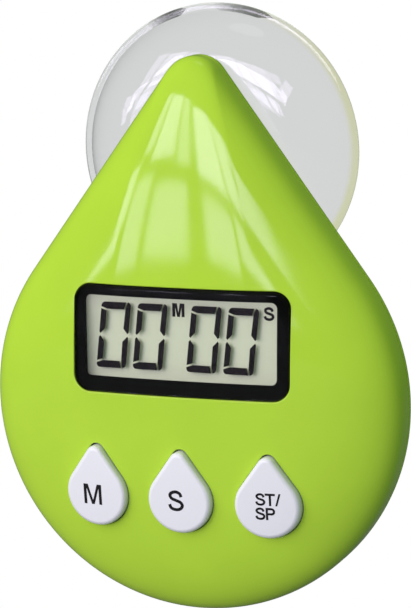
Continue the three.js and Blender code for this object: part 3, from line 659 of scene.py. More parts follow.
class Nodes:
    """Short ways to add and link the nodes of a material or a world."""

    def __init__(self, owner, output="ShaderNodeOutputMaterial"):
        owner.use_nodes = True
        self.owner = owner
        self.tree = owner.node_tree
        self.tree.nodes.clear()
        self.output = self.add(output)

    def add(self, kind, **values):
        """Adds a node. Values name its inputs, with spaces written as underscores."""
        node = self.tree.nodes.new(kind)
        for name, value in values.items():
            self.feed(value, node.inputs[name.replace("_", " ")])
        return node

    def feed(self, value, socket):
        """Links an input to a socket, or sets it to a constant."""
        if isinstance(value, bpy.types.NodeSocket):
            self.tree.links.new(value, socket)
        else:
            socket.default_value = value

    def combine(self, kind, operation, *parts):
        """Adds a node that works on its inputs in their order."""
        node = self.add(kind)
        node.operation = operation
        for part, socket in zip(parts, node.inputs):
            self.feed(part, socket)
        return node

    def mixed(self, share, first, second):
        """A shader that goes from the first to the second with a share."""
        node = self.add("ShaderNodeMixShader", Fac=share)
        self.feed(first.outputs[0], node.inputs[1])
        self.feed(second.outputs[0], node.inputs[2])
        return node

    def places(self):
        return self.add("ShaderNodeTexCoord").outputs["Object"]

    def noise(self, size, detail=2.0, stretch=None):
        """Noise with spots of about a size in millimetres, stretched along the axes if asked."""
        places = self.places()
        if stretch:
            places = self.add("ShaderNodeMapping", Vector=places, Scale=stretch).outputs["Vector"]
        node = self.add("ShaderNodeTexNoise", Vector=places, Scale=1 / (size * MM), Detail=detail)
        return node.outputs["Fac"]

    def between(self, share, low, high, span=NOISE_SPAN):
        """A number that goes from low to high as a share goes over a span."""
        node = self.add("ShaderNodeMapRange", Value=share, From_Min=span[0], From_Max=span[1],
                        To_Min=low, To_Max=high)
        return node.outputs["Result"]

    def ramp(self, share, first, second, span=NOISE_SPAN):
        """A colour that goes from the first to the second as a share goes over a span."""
        node = self.add("ShaderNodeValToRGB", Fac=share)
        for stop, position, colour in zip(node.color_ramp.elements, span, (first, second)):
            stop.position = position
            stop.color = (*colour, 1)
        return node.outputs["Color"]

    def bump(self, height, depth):
        """A normal for relief of a depth in millimetres."""
        return self.add("ShaderNodeBump", Height=height, Distance=depth * MM).outputs["Normal"]

    def seen_directly(self):
        """1 for what the camera, a mirror or clear plastic shows, and 0 for soft light."""
        path = self.add("ShaderNodeLightPath")
        share = path.outputs["Is Camera Ray"]
        for name in ("Is Glossy Ray", "Is Transmission Ray"):
            share = self.combine("ShaderNodeMath", "MAXIMUM", share, path.outputs[name]).outputs[0]
        return share

    def principled(self, **values):
        """Ends the material with one plastic, metal or clear surface."""
        return self.finish(self.add("ShaderNodeBsdfPrincipled", **values))

    def finish(self, shader):
        self.feed(shader.outputs[0], self.output.inputs["Surface"])
        return self.owner


def material_nodes(name):
    return Nodes(bpy.data.materials.new(name))


def shades(colour, amount):
    """A darker and a lighter shade of a colour."""
    return [tuple(min(1.0, part * (1 + sign * amount)) for part in colour) for sign in (-1, 1)]


def moulded(name, colour, gloss, mottle=0.03, cloud=14, spot=6, grain=0.35, relief=0.0015):
    """Moulded plastic: faint clouds in the colour, an uneven gloss and a fine skin."""
    nodes = material_nodes(name)
    return nodes.principled(
        Base_Color=nodes.ramp(nodes.noise(cloud, 3), *shades(colour, mottle)),
        Roughness=nodes.between(nodes.noise(spot, 4), *gloss),
        Normal=nodes.bump(nodes.noise(grain, 2), relief),
        IOR=PLASTIC_INDEX,
    )


def clear_pane(name, index, tint, spot=9, gloss=(0.02, 0.06)):
    """A clear pane that lets light straight through and mirrors a little, alike from both sides."""
    nodes = material_nodes(name)
    through = nodes.add("ShaderNodeBsdfTransparent", Color=(*tint, 1))
    mirror = nodes.add("ShaderNodeBsdfGlossy", Roughness=nodes.between(nodes.noise(spot, 3), *gloss))
    behind = nodes.add("ShaderNodeNewGeometry").outputs["Backfacing"]
    fresnel = nodes.add("ShaderNodeFresnel", IOR=nodes.between(behind, index, 1 / index, span=(0, 1)))
    return nodes.finish(nodes.mixed(fresnel.outputs["Fac"], through, mirror))


def soft_clear(name, spot=5, gloss=(0.015, 0.05), wave=7, relief=0.02):
    """Clear soft plastic of the cup: grey as painted shade for the darker backdrop seen through it, and
    yellowish on the right of its rim as painted light that the rim bends in.
    """
    nodes = material_nodes(name)
    places = nodes.places()
    flat = nodes.combine("ShaderNodeVectorMath", "MULTIPLY", places, (1, 0, 1)).outputs[0]
    reach = nodes.combine("ShaderNodeVectorMath", "LENGTH", flat).outputs["Value"]
    across = nodes.add("ShaderNodeSeparateXYZ", Vector=places).outputs["X"]
    rim = nodes.between(reach, 0, 1, span=np.array(CUP_RIM_LIGHT_REACH) * MM)
    right = nodes.between(across, 0, 1, span=np.array(CUP_RIM_LIGHT_SIDE) * MM)
    # Share of painted light: the rim's right side turns yellowish, for the pale light that the rim bends in.
    rim_light_share = nodes.combine("ShaderNodeMath", "MULTIPLY", rim, right).outputs[0]
    return nodes.principled(
        Base_Color=nodes.ramp(rim_light_share, CUP_PAINTED_GREY, CUP_RIM_PAINTED_LIGHT, span=(0, 1)),
        Roughness=nodes.between(nodes.noise(spot, 4), *gloss),
        Normal=nodes.bump(nodes.noise(wave, 2), relief),
        Transmission_Weight=1.0,
        IOR=CUP_INDEX,
    )


def reflector(name, mottle=0.03, sparkle=0.12, spot=0.3, gloss=(0.5, 0.62)):
    """Grey-green back of the liquid crystal panel, with a fine metallic sparkle."""
    nodes = material_nodes(name)
    return nodes.principled(
        Base_Color=nodes.ramp(nodes.noise(sparkle, 1), *shades(PANEL_GREY, mottle)),
        Roughness=nodes.between(nodes.noise(spot, 2), *gloss),
    )


def ink(name, colour, shine=0.1, mottle=0.12, cloud=0.8, spot=0.5, gloss=(0.4, 0.55)):
    """Printed ink or a dark liquid crystal bar: nearly even, a little uneven in its gloss."""
    nodes = material_nodes(name)
    return nodes.principled(
        Base_Color=nodes.ramp(nodes.noise(cloud, 3), *shades(colour, mottle)),
        Roughness=nodes.between(nodes.noise(spot, 2), *gloss),
        Specular_IOR_Level=shine,
    )


def metal(name, colour, gloss, stretch, mottle=0.06, line=0.5, relief=0.001):
    """Plated or rolled metal with fine lines along one way."""
    nodes = material_nodes(name)
    lines = nodes.noise(line, 3, stretch)
    return nodes.principled(
        Base_Color=nodes.ramp(lines, *shades(colour, mottle)),
        Roughness=nodes.between(lines, *gloss),
        Normal=nodes.bump(lines, relief),
        Metallic=1.0,
    )


def matt(name, colour, gloss, spot, relief, mottle=0.1):
    """Rubber, resin, ceramic or board: small spots and a matt grain."""
    nodes = material_nodes(name)
    spots = nodes.noise(spot, 3)
    return nodes.principled(
        Base_Color=nodes.ramp(spots, *shades(colour, mottle)),
        Roughness=nodes.between(spots, *gloss),
        Normal=nodes.bump(spots, relief),
    )


def dark_screen(name, colour, cover, mottle=0.2, cloud=20, spot=10, gloss=(0.9, 1.0)):
    """Dull card of the stage, which thins out where its mesh says that it covers less."""
    nodes = material_nodes(name)
    thinning = nodes.add("ShaderNodeAttribute")
    thinning.attribute_name = cover
    return nodes.principled(
        Base_Color=nodes.ramp(nodes.noise(cloud, 2), *shades(colour, mottle)),
        Roughness=nodes.between(nodes.noise(spot, 2), *gloss),
        Alpha=thinning.outputs["Fac"],
    )


GREEN = moulded("lime_plastic", LIME, (0.06, 0.09))
WHITE = moulded("white_plastic", WARM_WHITE, (0.28, 0.36), mottle=0.012)
BLACK = ink("black_print", PRINT_BLACK, shine=0.01)
LENS = clear_pane("lens_acrylic", LENS_INDEX, (0.995, 0.995, 0.99))
FILM = clear_pane("panel_glass", FILM_INDEX, (0.995, 0.995, 0.985))
CUP = soft_clear("cup_soft_clear")
REFLECTOR = reflector("panel_reflector")
SEGMENT = ink("segment_dark", SEGMENT_DARK)
LEGEND = ink("legend_ink", LEGEND_DARK)
SILICONE = matt("silicone_grey", (0.58, 0.6, 0.63), (0.5, 0.65), 0.9, 0.003)
STEEL = metal("steel_bright", (0.62, 0.63, 0.65), (0.22, 0.34), (1, 1, 0.1))
SLOT_MATERIALS = {
    "case_green": GREEN,
    "button_white": WHITE,
    "lens_clear": LENS,
    "mask_black": BLACK,
    "panel_glass": REFLECTOR,
    "cup_clear": CUP,
    "silicone_grey": SILICONE,
    "steel_bright": STEEL,
    "rubber_dark": matt("rubber_dark", (0.04, 0.04, 0.042), (0.7, 0.85), 0.6, 0.004),
    "board_green": matt("board_green", (0.03, 0.15, 0.045), (0.35, 0.5), 1.2, 0.006),
    "resin_black": matt("resin_black", (0.008, 0.008, 0.009), (0.3, 0.45), 1.0, 0.004),
    "brass_disc": metal("brass_disc", (0.68, 0.48, 0.16), (0.25, 0.38), (0.1, 1, 1)),
    "ceramic_white": matt("ceramic_white", (0.78, 0.74, 0.65), (0.55, 0.7), 0.5, 0.002),
    "chip_tan": matt("chip_tan", (0.25, 0.15, 0.07), (0.45, 0.6), 0.4, 0.002),
}


def front_case():
    """Domed shell with rounded edges round the display and the button holes."""
    shell = Shell()
    outlines = [lens_outline] + [partial(hole_outline, name) for name in BUTTON_NAMES]
    gaps = [LENS_GAP] + [HOLE_GAP] * len(BUTTON_NAMES)
    holes = [outline_at(gap + HOLE_EDGE) for outline_at, gap in zip(outlines, gaps)]
    flat = triangulate([dome_contour(CAP_SCALE), *holes], FRONT_GRID)
    outer = shell.domed_sheet(flat, 0.0)
    inner = shell.domed_sheet(flat, FRONT_WALL, fine=False)
    rim = [outer[0]]
    for step in range(1, RIM_STEPS + 1):
        contour = dome_contour(1 - (1 - CAP_SCALE) * (1 - step / RIM_STEPS) ** DOME_FULLNESS)
        rim.append(shell.ring(contour, dome(contour), dome_normals(contour)))
    shell.chain(rim, fine=True)
    wall = [(0, SEAM - SEAM_EDGE), (-SEAM_EDGE, SEAM), (-SIDE_WALL, SEAM), (-SIDE_WALL, RIM - SIDE_WALL)]
    shell.chain([rim[-1], *shell.rings(case_outline, wall), inner[0]])
    tunnels = [display_tunnel(shell)] + [[]] * len(BUTTON_NAMES)
    for mouth, outline_at, gap, tunnel, end in zip(outer[1:], outlines, gaps, tunnels, inner[1:]):
        edge = shell.dome_edge(outline_at, HOLE_EDGE, base=gap, side=-1)
        shell.chain([mouth, *edge], fine=True)
        shell.chain([edge[-1], *tunnel, end])
    made = shell.piece("front_shell", "case", GREEN)
    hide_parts("front_case")


def display_tunnel(shell):
    """Rings below the edge of the display's hole: a seat for the lens and a tunnel to the panel."""
    seat = lens_outline(LENS_GAP)
    tunnel = window_outline(TUNNEL_MARGIN)
    return [
        shell.ring(seat, dome(seat) + LENS_SEAT),
        shell.ring(tunnel, dome(tunnel) + LENS_SEAT),
        shell.ring(tunnel, PANEL_FRONT),
    ]


def display_lens():
    """Clear lens that nearly follows the dome and stands a little proud, with a rounded edge."""
    shell = Shell()
    flat = triangulate([lens_outline(-LENS_EDGE)], FRONT_GRID)
    front = shell.domed_sheet(flat, -LENS_PROUD, LENS_FACE)
    back = shell.domed_sheet(flat, LENS_BACK, LENS_FACE, fine=False)
    edge = shell.dome_edge(lens_outline, LENS_EDGE, lift=-LENS_PROUD, surface=LENS_FACE)
    shell.chain([front[0], *edge], fine=True)
    outline = lens_outline(0)
    shell.chain([edge[-1], shell.ring(outline, lens_depth(outline) + LENS_BACK), back[0]])
    made = shell.piece("lens", "case", LENS)
    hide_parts("display_lens")


def display_mask():
    """Black border behind the lens, with a thin lip round the lens and a skirt back to the panel."""
    shell = Shell()
    lip_inner, lip_outer = [lens_outline(grow) for grow in MASK_LIP]
    inner, outer = [window_outline(grow) for grow in MASK_SKIRT]
    window = window_outline(0)
    front = shell.domed_sheet(triangulate([lip_inner, window], FRONT_GRID), MASK_FRONT, LENS_FACE)
    back = shell.domed_sheet(triangulate([lip_outer, outer], FRONT_GRID), MASK_BACK, LENS_FACE, fine=False)
    sill = shell.domed_sheet(triangulate([inner, window], FRONT_GRID), MASK_BACK, LENS_FACE, fine=False)
    lip = [shell.ring(outline, lens_depth(outline)) for outline in (lip_inner, lip_outer)]
    shell.chain([front[0], *lip, back[0]])
    shell.chain([back[1], shell.ring(outer, PANEL_FRONT), shell.ring(inner, PANEL_FRONT), sill[0]])
    shell.chain([sill[1], front[1]])
    made = shell.piece("mask", "case", BLACK)
    made.visible_shadow = False
    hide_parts("display_mask")


def display_panel():
    """Panel: a clear front film, dark bars behind it, and the grey-green reflector behind a small gap."""
    flat = triangulate([rounded_rectangle(PANEL_SIZE, PANEL_CORNER, WINDOW_RISE)], PANEL_GRID)
    body = Shell()
    body.plate(flat, PANEL_FRONT + REFLECTOR_DEPTH, PANEL_BACK)
    made = body.piece("panel_reflector", "case", REFLECTOR)
    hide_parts("display_panel")
    front = PANEL_FRONT + FILM_THICK
    film = Shell()
    film.plate(flat, PANEL_FRONT, front)
    film.piece("panel_front_glass", "case", FILM)
    bars = Shell()
    for x in DIGIT_PLACES:
        for bar in digit_bars():
            slant = np.column_stack([bar[:, 0] + bar[:, 1] * math.tan(DIGIT_SLANT), bar[:, 1]])
            bars.plate(triangulate([slant + (x, DIGIT_RISE)], BAR_GRID), front, front + INK)
    bars.piece("panel_bars", "case", SEGMENT)
    marks = Shell()
    for letter, (place, stroke) in MARKS.items():
        loops = [loop * MARK_HEIGHT + place for loop in LETTERS[letter](stroke)]
        marks.plate(triangulate(loops, MARK_GRID), front, front + INK)
    made = marks.piece("panel_marks", "case", SEGMENT)
    made.visible_shadow = False


def digit_bars():
    """Outlines of the six bars of a zero, upright and centred: three above the middle, mirrored below."""
    half = DIGIT_HALF_WIDTH
    top = DIGIT_HALF_HEIGHT
    inner_top = top - DIGIT_BAR
    post = half - DIGIT_POST
    corner = DIGIT_CORNER
    turn = math.pi / 2
    top_bar = np.vstack([
        [(-half, top - TOP_BAR_LEFT)],
        np.array([(-post, inner_top), (post, inner_top)]) + TOP_BAR_LOWER,
        [(post + TOP_BAR_RIGHT, top)],
        arc(-half + corner, top - corner, corner, turn, 2 * turn, CORNER_STEPS),
    ])
    inner_foot, (inset, lift), outer_foot = RIGHT_POST_FOOT
    right_post = np.vstack([
        np.array([(post, top), (post, inner_top)]) + RIGHT_POST_TOP,
        [(post, inner_foot), (half - inset, lift), (half, outer_foot)],
        arc(half - corner, top - corner, corner, 0, turn, CORNER_STEPS)[:-1],
    ])
    outer_foot, (inset, lift), inner_foot = LEFT_POST_FOOT
    outer_top, inner_drop = LEFT_POST_TOP
    left_post = np.array([
        (-half, top - outer_top), (-half, outer_foot), (-half + inset, lift), (-post, inner_foot),
        (-post, inner_top - inner_drop),
    ])
    upper = [top_bar, right_post, left_post]
    return upper + [bar[::-1] * (1, -1) for bar in upper]


def letter_m(stroke):
    """An M of height 1, as one loop."""
    width = 0.95
    middle = width / 2
    vertex = 0.47 * stroke
    shoulder = 1.55 * stroke
    notch = 1.35 * stroke
    armpit = 1 - 1.25 * stroke
    return [np.array([
        (0, 0), (stroke, 0), (stroke, armpit), (middle - vertex, 0), (middle + vertex, 0),
        (width - stroke, armpit), (width - stroke, 0), (width, 0), (width, 1), (width - shoulder, 1),
        (middle, notch), (shoulder, 1), (0, 1),
    ])]


def letter_t(stroke):
    width = 0.8
    left = (width - stroke) / 2
    right = (width + stroke) / 2
    under = 1 - stroke
    return [np.array([
        (left, 0), (right, 0), (right, under), (width, under), (width, 1), (0, 1), (0, under), (left, under),
    ])]


def letter_p(stroke):
    """A P with a round bowl, as an outer loop and a hole."""
    bowl = 0.3
    bowl_place = 0.44
    turn = math.pi / 2
    outer = np.vstack([
        [(0, 0), (stroke, 0), (stroke, 1 - 2 * bowl)],
        arc(bowl_place, 1 - bowl, bowl, -turn, turn, CORNER_STEPS),
        [(0, 1)],
    ])
    hole = np.vstack([
        [(stroke, 1 - stroke), (stroke, 1 - 2 * bowl + stroke)],
        arc(bowl_place, 1 - bowl, bowl - stroke, -turn, turn, CORNER_STEPS),
    ])
    return [outer, hole]


def letter_slash(stroke):
    lean = 0.29
    width = 0.85 * stroke
    return [np.array([(0, 0), (width, 0), (lean + width, 1), (lean, 1)])]


def letter_s(stroke):
    """An S: a ribbon along a smooth line through a few points, a little taller than the other letters."""
    guide = np.array([
        (0.66, 0.70), (0.58, 0.87), (0.38, 0.94), (0.17, 0.87), (0.11, 0.74), (0.20, 0.60), (0.40, 0.52),
        (0.62, 0.43), (0.70, 0.27), (0.59, 0.11), (0.38, 0.06), (0.15, 0.13), (0.07, 0.31),
    ])
    middle = 0.5
    overshoot = 1.02
    heights = guide[:, 1]
    guide[:, 1] = middle + (heights - middle) * (1 - stroke) / np.ptp(heights) * overshoot
    line = smooth_line(guide, LETTER_STEPS)
    along = np.gradient(line, axis=0)
    side = unit(np.column_stack([-along[:, 1], along[:, 0]])) * stroke / 2
    return [np.vstack([line + side, (line - side)[::-1]])]


def smooth_line(guide, steps):
    """A smooth curve through points. At each it runs parallel to the line between its neighbours."""
    ends = np.vstack([2 * guide[0] - guide[1], guide, 2 * guide[-1] - guide[-2]])
    line = []
    for a, b, c, d in zip(ends, ends[1:], ends[2:], ends[3:]):
        for t in np.arange(steps) / steps:
            bend = (2 * a - 5 * b + 4 * c - d) * t ** 2 + (3 * b - a - 3 * c + d) * t ** 3
            line.append((2 * b + (c - a) * t + bend) / 2)
    return np.vstack([line, guide[-1:]])


LETTERS = {"M": letter_m, "S": letter_s, "T": letter_t, "P": letter_p, "/": letter_slash}
# Each legend is a list of lines: the height of its letters, their stroke as a share of that height, and their
# places from the button's middle.
LEGENDS = {
    "minutes": [(3.4, 0.15, {"M": (-2.06, -1.63)})],
    "seconds": [(3.45, 0.15, {"S": (-1.72, -1.5)})],
    "start_stop": [(2.05, 0.175, {"S": (-1.7, 0.35), "T": (-0.15, 0.35), "/": (1.5, 0.35)}),
                   (2.05, 0.175, {"S": (-1.8, -2.05), "P": (-0.1, -2.05)})],
}


def button(name):
    """White drop that follows the dome, with a rounded edge, a flange inside and a stem."""
    outline_at = partial(button_outline, name)
    x, z, _ = button_place(name)
    shell = Shell()
    flat = triangulate([outline_at(-BUTTON_EDGE)], BUTTON_GRID)
    front = shell.domed_sheet(flat, -BUTTON_PROUD)
    back = shell.sheet(flat, FLANGE_BACK)
    edge = shell.dome_edge(outline_at, BUTTON_EDGE, lift=-BUTTON_PROUD)
    shell.chain([front[0], *edge], fine=True)
    flange = [(0, FLANGE_FRONT), (FLANGE, FLANGE_FRONT), (FLANGE, FLANGE_BACK)]
    shell.chain([edge[-1], *shell.rings(outline_at, flange), back[0]])
    stem_end = box_of("button_" + name)[1][1]
    stem = [(0, FLANGE_BACK), (STEM_RADIUS, FLANGE_BACK), (STEM_RADIUS, stem_end), (0, stem_end)]
    shell.turned(stem, x, z, HOLE_POINTS)
    made = shell.piece("cap_" + name, "button_" + name, WHITE)
    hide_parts("button_" + name)


def legend(name):
    """Letters printed on a button."""
    x, z, _ = button_place(name)
    shell = Shell()
    for height, stroke, letters in LEGENDS[name]:
        for letter, (across, up) in letters.items():
            loops = [loop * height + (x + across, z + up) for loop in LETTERS[letter](stroke)]
            flat = triangulate(loops, LEGEND_GRID)
            depth = dome(flat.points) - BUTTON_PROUD
            shell.plate(flat, depth - INK, depth + INK)
    shell.piece("legend_" + name, "button_" + name, LEGEND)


def key_dome(name):
    """Rubber dome under a button, built at rest. The real one flattens as the button goes in."""
    low, high = box_of("key_dome_" + name)
    x, _, z = (low + high) / 2
    top = low[1]
    foot = high[1]
    profile = [(0, top)]
    profile += [(radius, top + down) for radius, down in KEY_SHOULDER]
    profile += [(radius, foot - up) for radius, up in KEY_SKIRT]
    profile += [(KEY_HOLLOW, top + KEY_WALL), (0, top + KEY_WALL)]
    shell = Shell()
    shell.turned(profile, x, z, KEY_POINTS)
    made = shell.piece("rubber_dome_" + name, "case", SILICONE)
    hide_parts("key_dome_" + name)
    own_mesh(made)


def cup_rise():
    """Height of the suction cup's middle."""
    low, high = box_of("suction_cup")
    return (low[2] + high[2]) / 2


def joined_rounds(top, bottom):
    """Outline of two arcs, one over the other, and the straight sides between them."""
    left = between(top[-1], bottom[0], KEYHOLE_STEPS)
    right = between(bottom[-1], top[0], KEYHOLE_STEPS)
    return np.vstack([top, left, bottom, right])


def keyhole_outline(grow):
    """Outline of the keyhole: a slot with a round end over a larger round entry."""
    rise = cup_rise()
    slot = KEYHOLE_SLOT + grow
    entry = KEYHOLE_ENTRY + grow
    turn = math.acos(slot / entry)
    top = arc(0, rise, slot, 0, math.pi, CORNER_STEPS)
    bottom = arc(0, rise - KEYHOLE_DROP, entry, math.pi - turn, 2 * math.pi + turn, SIDE_STEPS)
    return joined_rounds(top, bottom)


def pocket_outline(radius):
    """Outline of the pocket behind the keyhole, with as many points as the keyhole's."""
    rise = cup_rise()
    top = arc(0, rise, radius, 0, math.pi, CORNER_STEPS)
    bottom = arc(0, rise - KEYHOLE_DROP, radius, math.pi, 2 * math.pi, SIDE_STEPS)
    return joined_rounds(top, bottom)


def keyhole_walls(shell, mouth, back):
    """Walls of the keyhole and of the pocket behind it, each closed at its end."""
    keyhole = [(KEYHOLE_EASE, -KEYHOLE_EASE), (0, -KEYHOLE_EDGE), (0, -REAR_THICK)]
    pocket = [(KEYHOLE_ENTRY, -REAR_THICK), (KEYHOLE_ENTRY, POCKET_FLOOR)]
    shell.closed_chain([mouth, *shell.rings(keyhole_outline, keyhole), *shell.rings(pocket_outline, pocket)])
    shell.closed_chain([back, *shell.rings(pocket_outline, [(KEYHOLE_ENTRY + POCKET_WALL, POCKET_END)])])


def door_place():
    """Height of the battery door's middle, and its radius."""
    low, high = box_of("battery_door")
    return (low[2] + high[2]) / 2, (high[2] - low[2]) / 2


def screw_place(name):
    """Middle of a screw, its head's radius, and the head's rear face."""
    low, high = box_of(name)
    x, _, z = (low + high) / 2
    return x, z, (high[2] - low[2]) / 2, high[1]


def sound_holes():
    """Middles of the sound holes: one, and the others on a circle round it."""
    return np.vstack([[(0.0, SOUND_RISE)], circle(0, SOUND_RISE, SOUND_CIRCLE, SOUND_COUNT)])


def rear_cover():
    """Flat drop with a rounded rear edge, the keyhole, the door's recess, screw holes and sound holes."""
    shell = Shell()
    rise, door = door_place()
    recess = circle(0, rise, door + DOOR_GAP, DOOR_POINTS)
    well = circle(0, rise, WELL_RADIUS, DOOR_POINTS)
    screws = [screw_place(name)[:2] for name in SCREW_NAMES]
    heads = [circle(x, z, SCREW_HOLE, HOLE_POINTS) for x, z in screws]
    shanks = [circle(x, z, SCREW_SHANK + HOLE_EDGE, HOLE_POINTS) for x, z in screws]
    ducts = [circle(x, z, SOUND_HOLE, DUCT_POINTS) for x, z in sound_holes()]
    pocket = pocket_outline(KEYHOLE_ENTRY + POCKET_WALL)
    rear_loops = [case_outline(-REAR_EDGE), keyhole_outline(KEYHOLE_EDGE), recess, *heads, *ducts]
    inner_loops = [case_outline(-SEAM_EDGE), pocket, well, *shanks, *ducts]
    rim, mouth, door_mouth, *rear_holes = shell.sheet(triangulate(rear_loops, REAR_GRID), 0.0)
    inner = shell.sheet(triangulate(inner_loops, REAR_INNER_GRID), -REAR_THICK)
    inner_rim, pocket_mouth, well_mouth, *inner_holes = inner
    wall = flat_edge(REAR_EDGE) + [(0, SEAM_EDGE - REAR_THICK)]
    shell.chain([rim, *shell.rings(case_outline, wall), inner_rim])
    keyhole_walls(shell, mouth, pocket_mouth)
    shell.chain([door_mouth, shell.ring(recess, DOOR_SEAT), shell.ring(well, DOOR_SEAT), well_mouth])
    seats = [[shell.ring(outline, SCREW_SEAT) for outline in pair] for pair in zip(heads, shanks)]
    for rear_hole, seat, inner_hole in zip(rear_holes, seats + [[]] * len(ducts), inner_holes):
        shell.chain([rear_hole, *seat, inner_hole])
    made = shell.piece("rear_shell", "case", GREEN)
    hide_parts("rear_cover")


def battery_door():
    """Round door with a rounded edge, a coin slot, a skirt inside, and a small pointer."""
    shell = Shell()
    rise, radius = door_place()
    skirt_end = box_of("battery_door")[0][1]
    skirt_in, skirt_out = DOOR_SKIRT
    slot_at = partial(stadium, *COIN_SLOT, rise)
    round_at = partial(circle, 0, rise, steps=DOOR_POINTS)
    face = triangulate([round_at(radius - DOOR_EDGE), slot_at(SLOT_EDGE)], DOOR_GRID)
    rim, mouth = shell.sheet(face, 0.0)
    wall = flat_edge(DOOR_EDGE, radius) + [(radius, -DOOR_THICK)]
    wall += [(skirt_out, -DOOR_THICK), (skirt_out, skirt_end), (skirt_in, skirt_end), (skirt_in, -DOOR_THICK)]
    shell.closed_chain([rim, *shell.rings(round_at, wall)])
    shell.closed_chain([mouth, *shell.rings(slot_at, [(0, -SLOT_EDGE), (0, -SLOT_DEPTH)])])
    pointer = triangulate([np.array(DOOR_POINTER) + (0, rise)], POINTER_GRID)
    shell.plate(pointer, -POINTER_SINK, POINTER_RAISE)
    made = shell.piece("door", "battery_door", GREEN)
    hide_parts("battery_door")


def cross_outline(x, z, reach, width):
    """Outline of a cross recess."""
    half = width / 2
    quarter = np.array([(reach, -half), (reach, half), (half, half)])
    points = []
    for turn in range(4):
        c = math.cos(turn * math.pi / 2)
        s = math.sin(turn * math.pi / 2)
        points.append(quarter @ np.array([(c, s), (-s, c)]))
    return np.vstack(points) + (x, z)


def case_screw(name):
    """Pan head screw with a rounded edge and a tapered cross recess."""
    x, z, radius, rear = screw_place(name)
    end = box_of(name)[0][1]
    shell = Shell()
    round_at = partial(circle, x, z, steps=SCREW_POINTS)
    face = triangulate([round_at(radius - SCREW_EDGE), cross_outline(x, z, *CROSS_MOUTH)], SCREW_GRID)
    rim, mouth = shell.sheet(face, rear)
    under = rear - SCREW_HEAD_THICK
    wall = flat_edge(SCREW_EDGE, radius, rear) + [(radius, under)]
    wall += [(SCREW_SHANK, under), (SCREW_SHANK, end + SCREW_SHANK), (SCREW_POINT, end)]
    shell.closed_chain([rim, *shell.rings(round_at, wall)])
    shell.closed_chain([mouth, shell.ring(cross_outline(x, z, *CROSS_FLOOR), rear - CROSS_DEPTH)])
    made = shell.piece("cross_" + name, "case", STEEL)
    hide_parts(name)


def suction_cup():
    """Clear bell, flat in the middle and steep at the foot, with a round bead, a neck and a mushroom head."""
    low, high = box_of("suction_cup")
    front = low[1]
    wall = high[1]
    radius = high[0]
    head_back = front + CUP_HEAD_THICK
    bead_across, bead_deep = CUP_BEAD
    foot = radius - 2 * bead_across
    profile = [(0, front)]
    profile += [(CUP_HEAD - inset, front + along) for inset, along in CUP_HEAD_FRONT]
    profile += [(CUP_HEAD - inset, head_back - along) for inset, along in CUP_HEAD_REAR]
    profile += [(CUP_NECK + CUP_NECK_EDGE, head_back), (CUP_NECK, head_back + CUP_NECK_EDGE)]
    for share in np.linspace(0, 1, BELL_STEPS + 1):
        bell = (CUP_HEIGHT - CUP_FOOT) * share ** CUP_FULLNESS
        profile.append((CUP_NECK + (foot - CUP_NECK) * share, wall - CUP_HEIGHT + bell))
    for turn in np.linspace(CUP_BEAD_START, math.pi / 2, BEAD_STEPS + 1):
        across = radius - bead_across + bead_across * math.cos(turn)
        profile.append((across, wall - bead_deep + bead_deep * math.sin(turn)))
    for share in np.linspace(1, 0, BELL_STEPS + 1):
        profile.append(((radius - CUP_FLAT) * share, wall - CUP_HOLLOW * (1 - share ** CUP_HOLLOW_FULLNESS)))
    shell = Shell()
    shell.turned(profile, 0, cup_rise(), CUP_POINTS)
    made = shell.piece("cup", "suction_cup", CUP, CUP_SHARP)
    made.visible_glossy = False
    made.visible_shadow = False
    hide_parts("suction_cup")


def dress_nodes():
    """Gives each CAD node the material of its slot."""
    slot_of = {part["node"]: part["material_slot"] for part in frame["record"]["subparts"]}
    for name, node in frame["nodes"].items():
        node.data.materials.clear()
        node.data.materials.append(SLOT_MATERIALS[slot_of[name]])


def direction(azimuth, elevation):
    """Unit vector towards an azimuth, from -Y towards +X, and an elevation, in degrees."""
    azimuth = math.radians(azimuth)
    elevation = math.radians(elevation)
    level = math.cos(elevation)
    return np.array([level * math.sin(azimuth), -level * math.cos(azimuth), math.sin(elevation)])


def camera():
    back = direction(VIEW_AZIMUTH, VIEW_ELEVATION)
    level = direction(VIEW_AZIMUTH + 90, 0)
    upright = np.cross(back, level)
    roll = math.radians(VIEW_ROLL)
    right = math.cos(roll) * level + math.sin(roll) * upright
    up = math.cos(roll) * upright - math.sin(roll) * level
    data = bpy.data.cameras.new("camera")
    data.sensor_width = SENSOR
    data.lens = VIEW_FOCAL / FRAME_LONG_SIDE * SENSOR
    data.clip_start = CLIP_START
    made = put("camera", data)
    place = (VIEW_TARGET + VIEW_DISTANCE * back + ORIGIN) * MM
    made.matrix_world = Matrix(np.column_stack([right, up, back, place]).tolist() + [[0, 0, 0, 1]])
    bpy.context.scene.camera = made


def lamp(name, azimuth, elevation, distance, tint):
    """An area light that faces the timer, and that the camera doesn't show."""
    data = bpy.data.lights.new(name, "AREA")
    data.color = tint
    made = put(name, data)
    place = AIM + distance * direction(azimuth, elevation)
    made.location = place
    made.rotation_mode = "QUATERNION"
    made.rotation_quaternion = Vector(AIM - place).to_track_quat("-Z", "Y")
    made.visible_camera = False
    return made


def window_pane(name, azimuths, elevations, radiance, roll=0):
    """A light that fills a range of azimuths and elevations, in degrees, seen from the timer, then rolled."""
    made = lamp(name, sum(azimuths) / 2, sum(elevations) / 2, PANE_DISTANCE, WINDOW_TINT)
    made.rotation_quaternion = made.rotation_quaternion @ Quaternion((0, 0, 1), math.radians(roll))
    data = made.data
    data.shape = "RECTANGLE"
    data.size = 2 * PANE_DISTANCE * math.tan(math.radians(azimuths[1] - azimuths[0]) / 2)
    data.size_y = 2 * PANE_DISTANCE * math.tan(math.radians(elevations[1] - elevations[0]) / 2)
    data.energy = radiance * math.pi * data.size * data.size_y


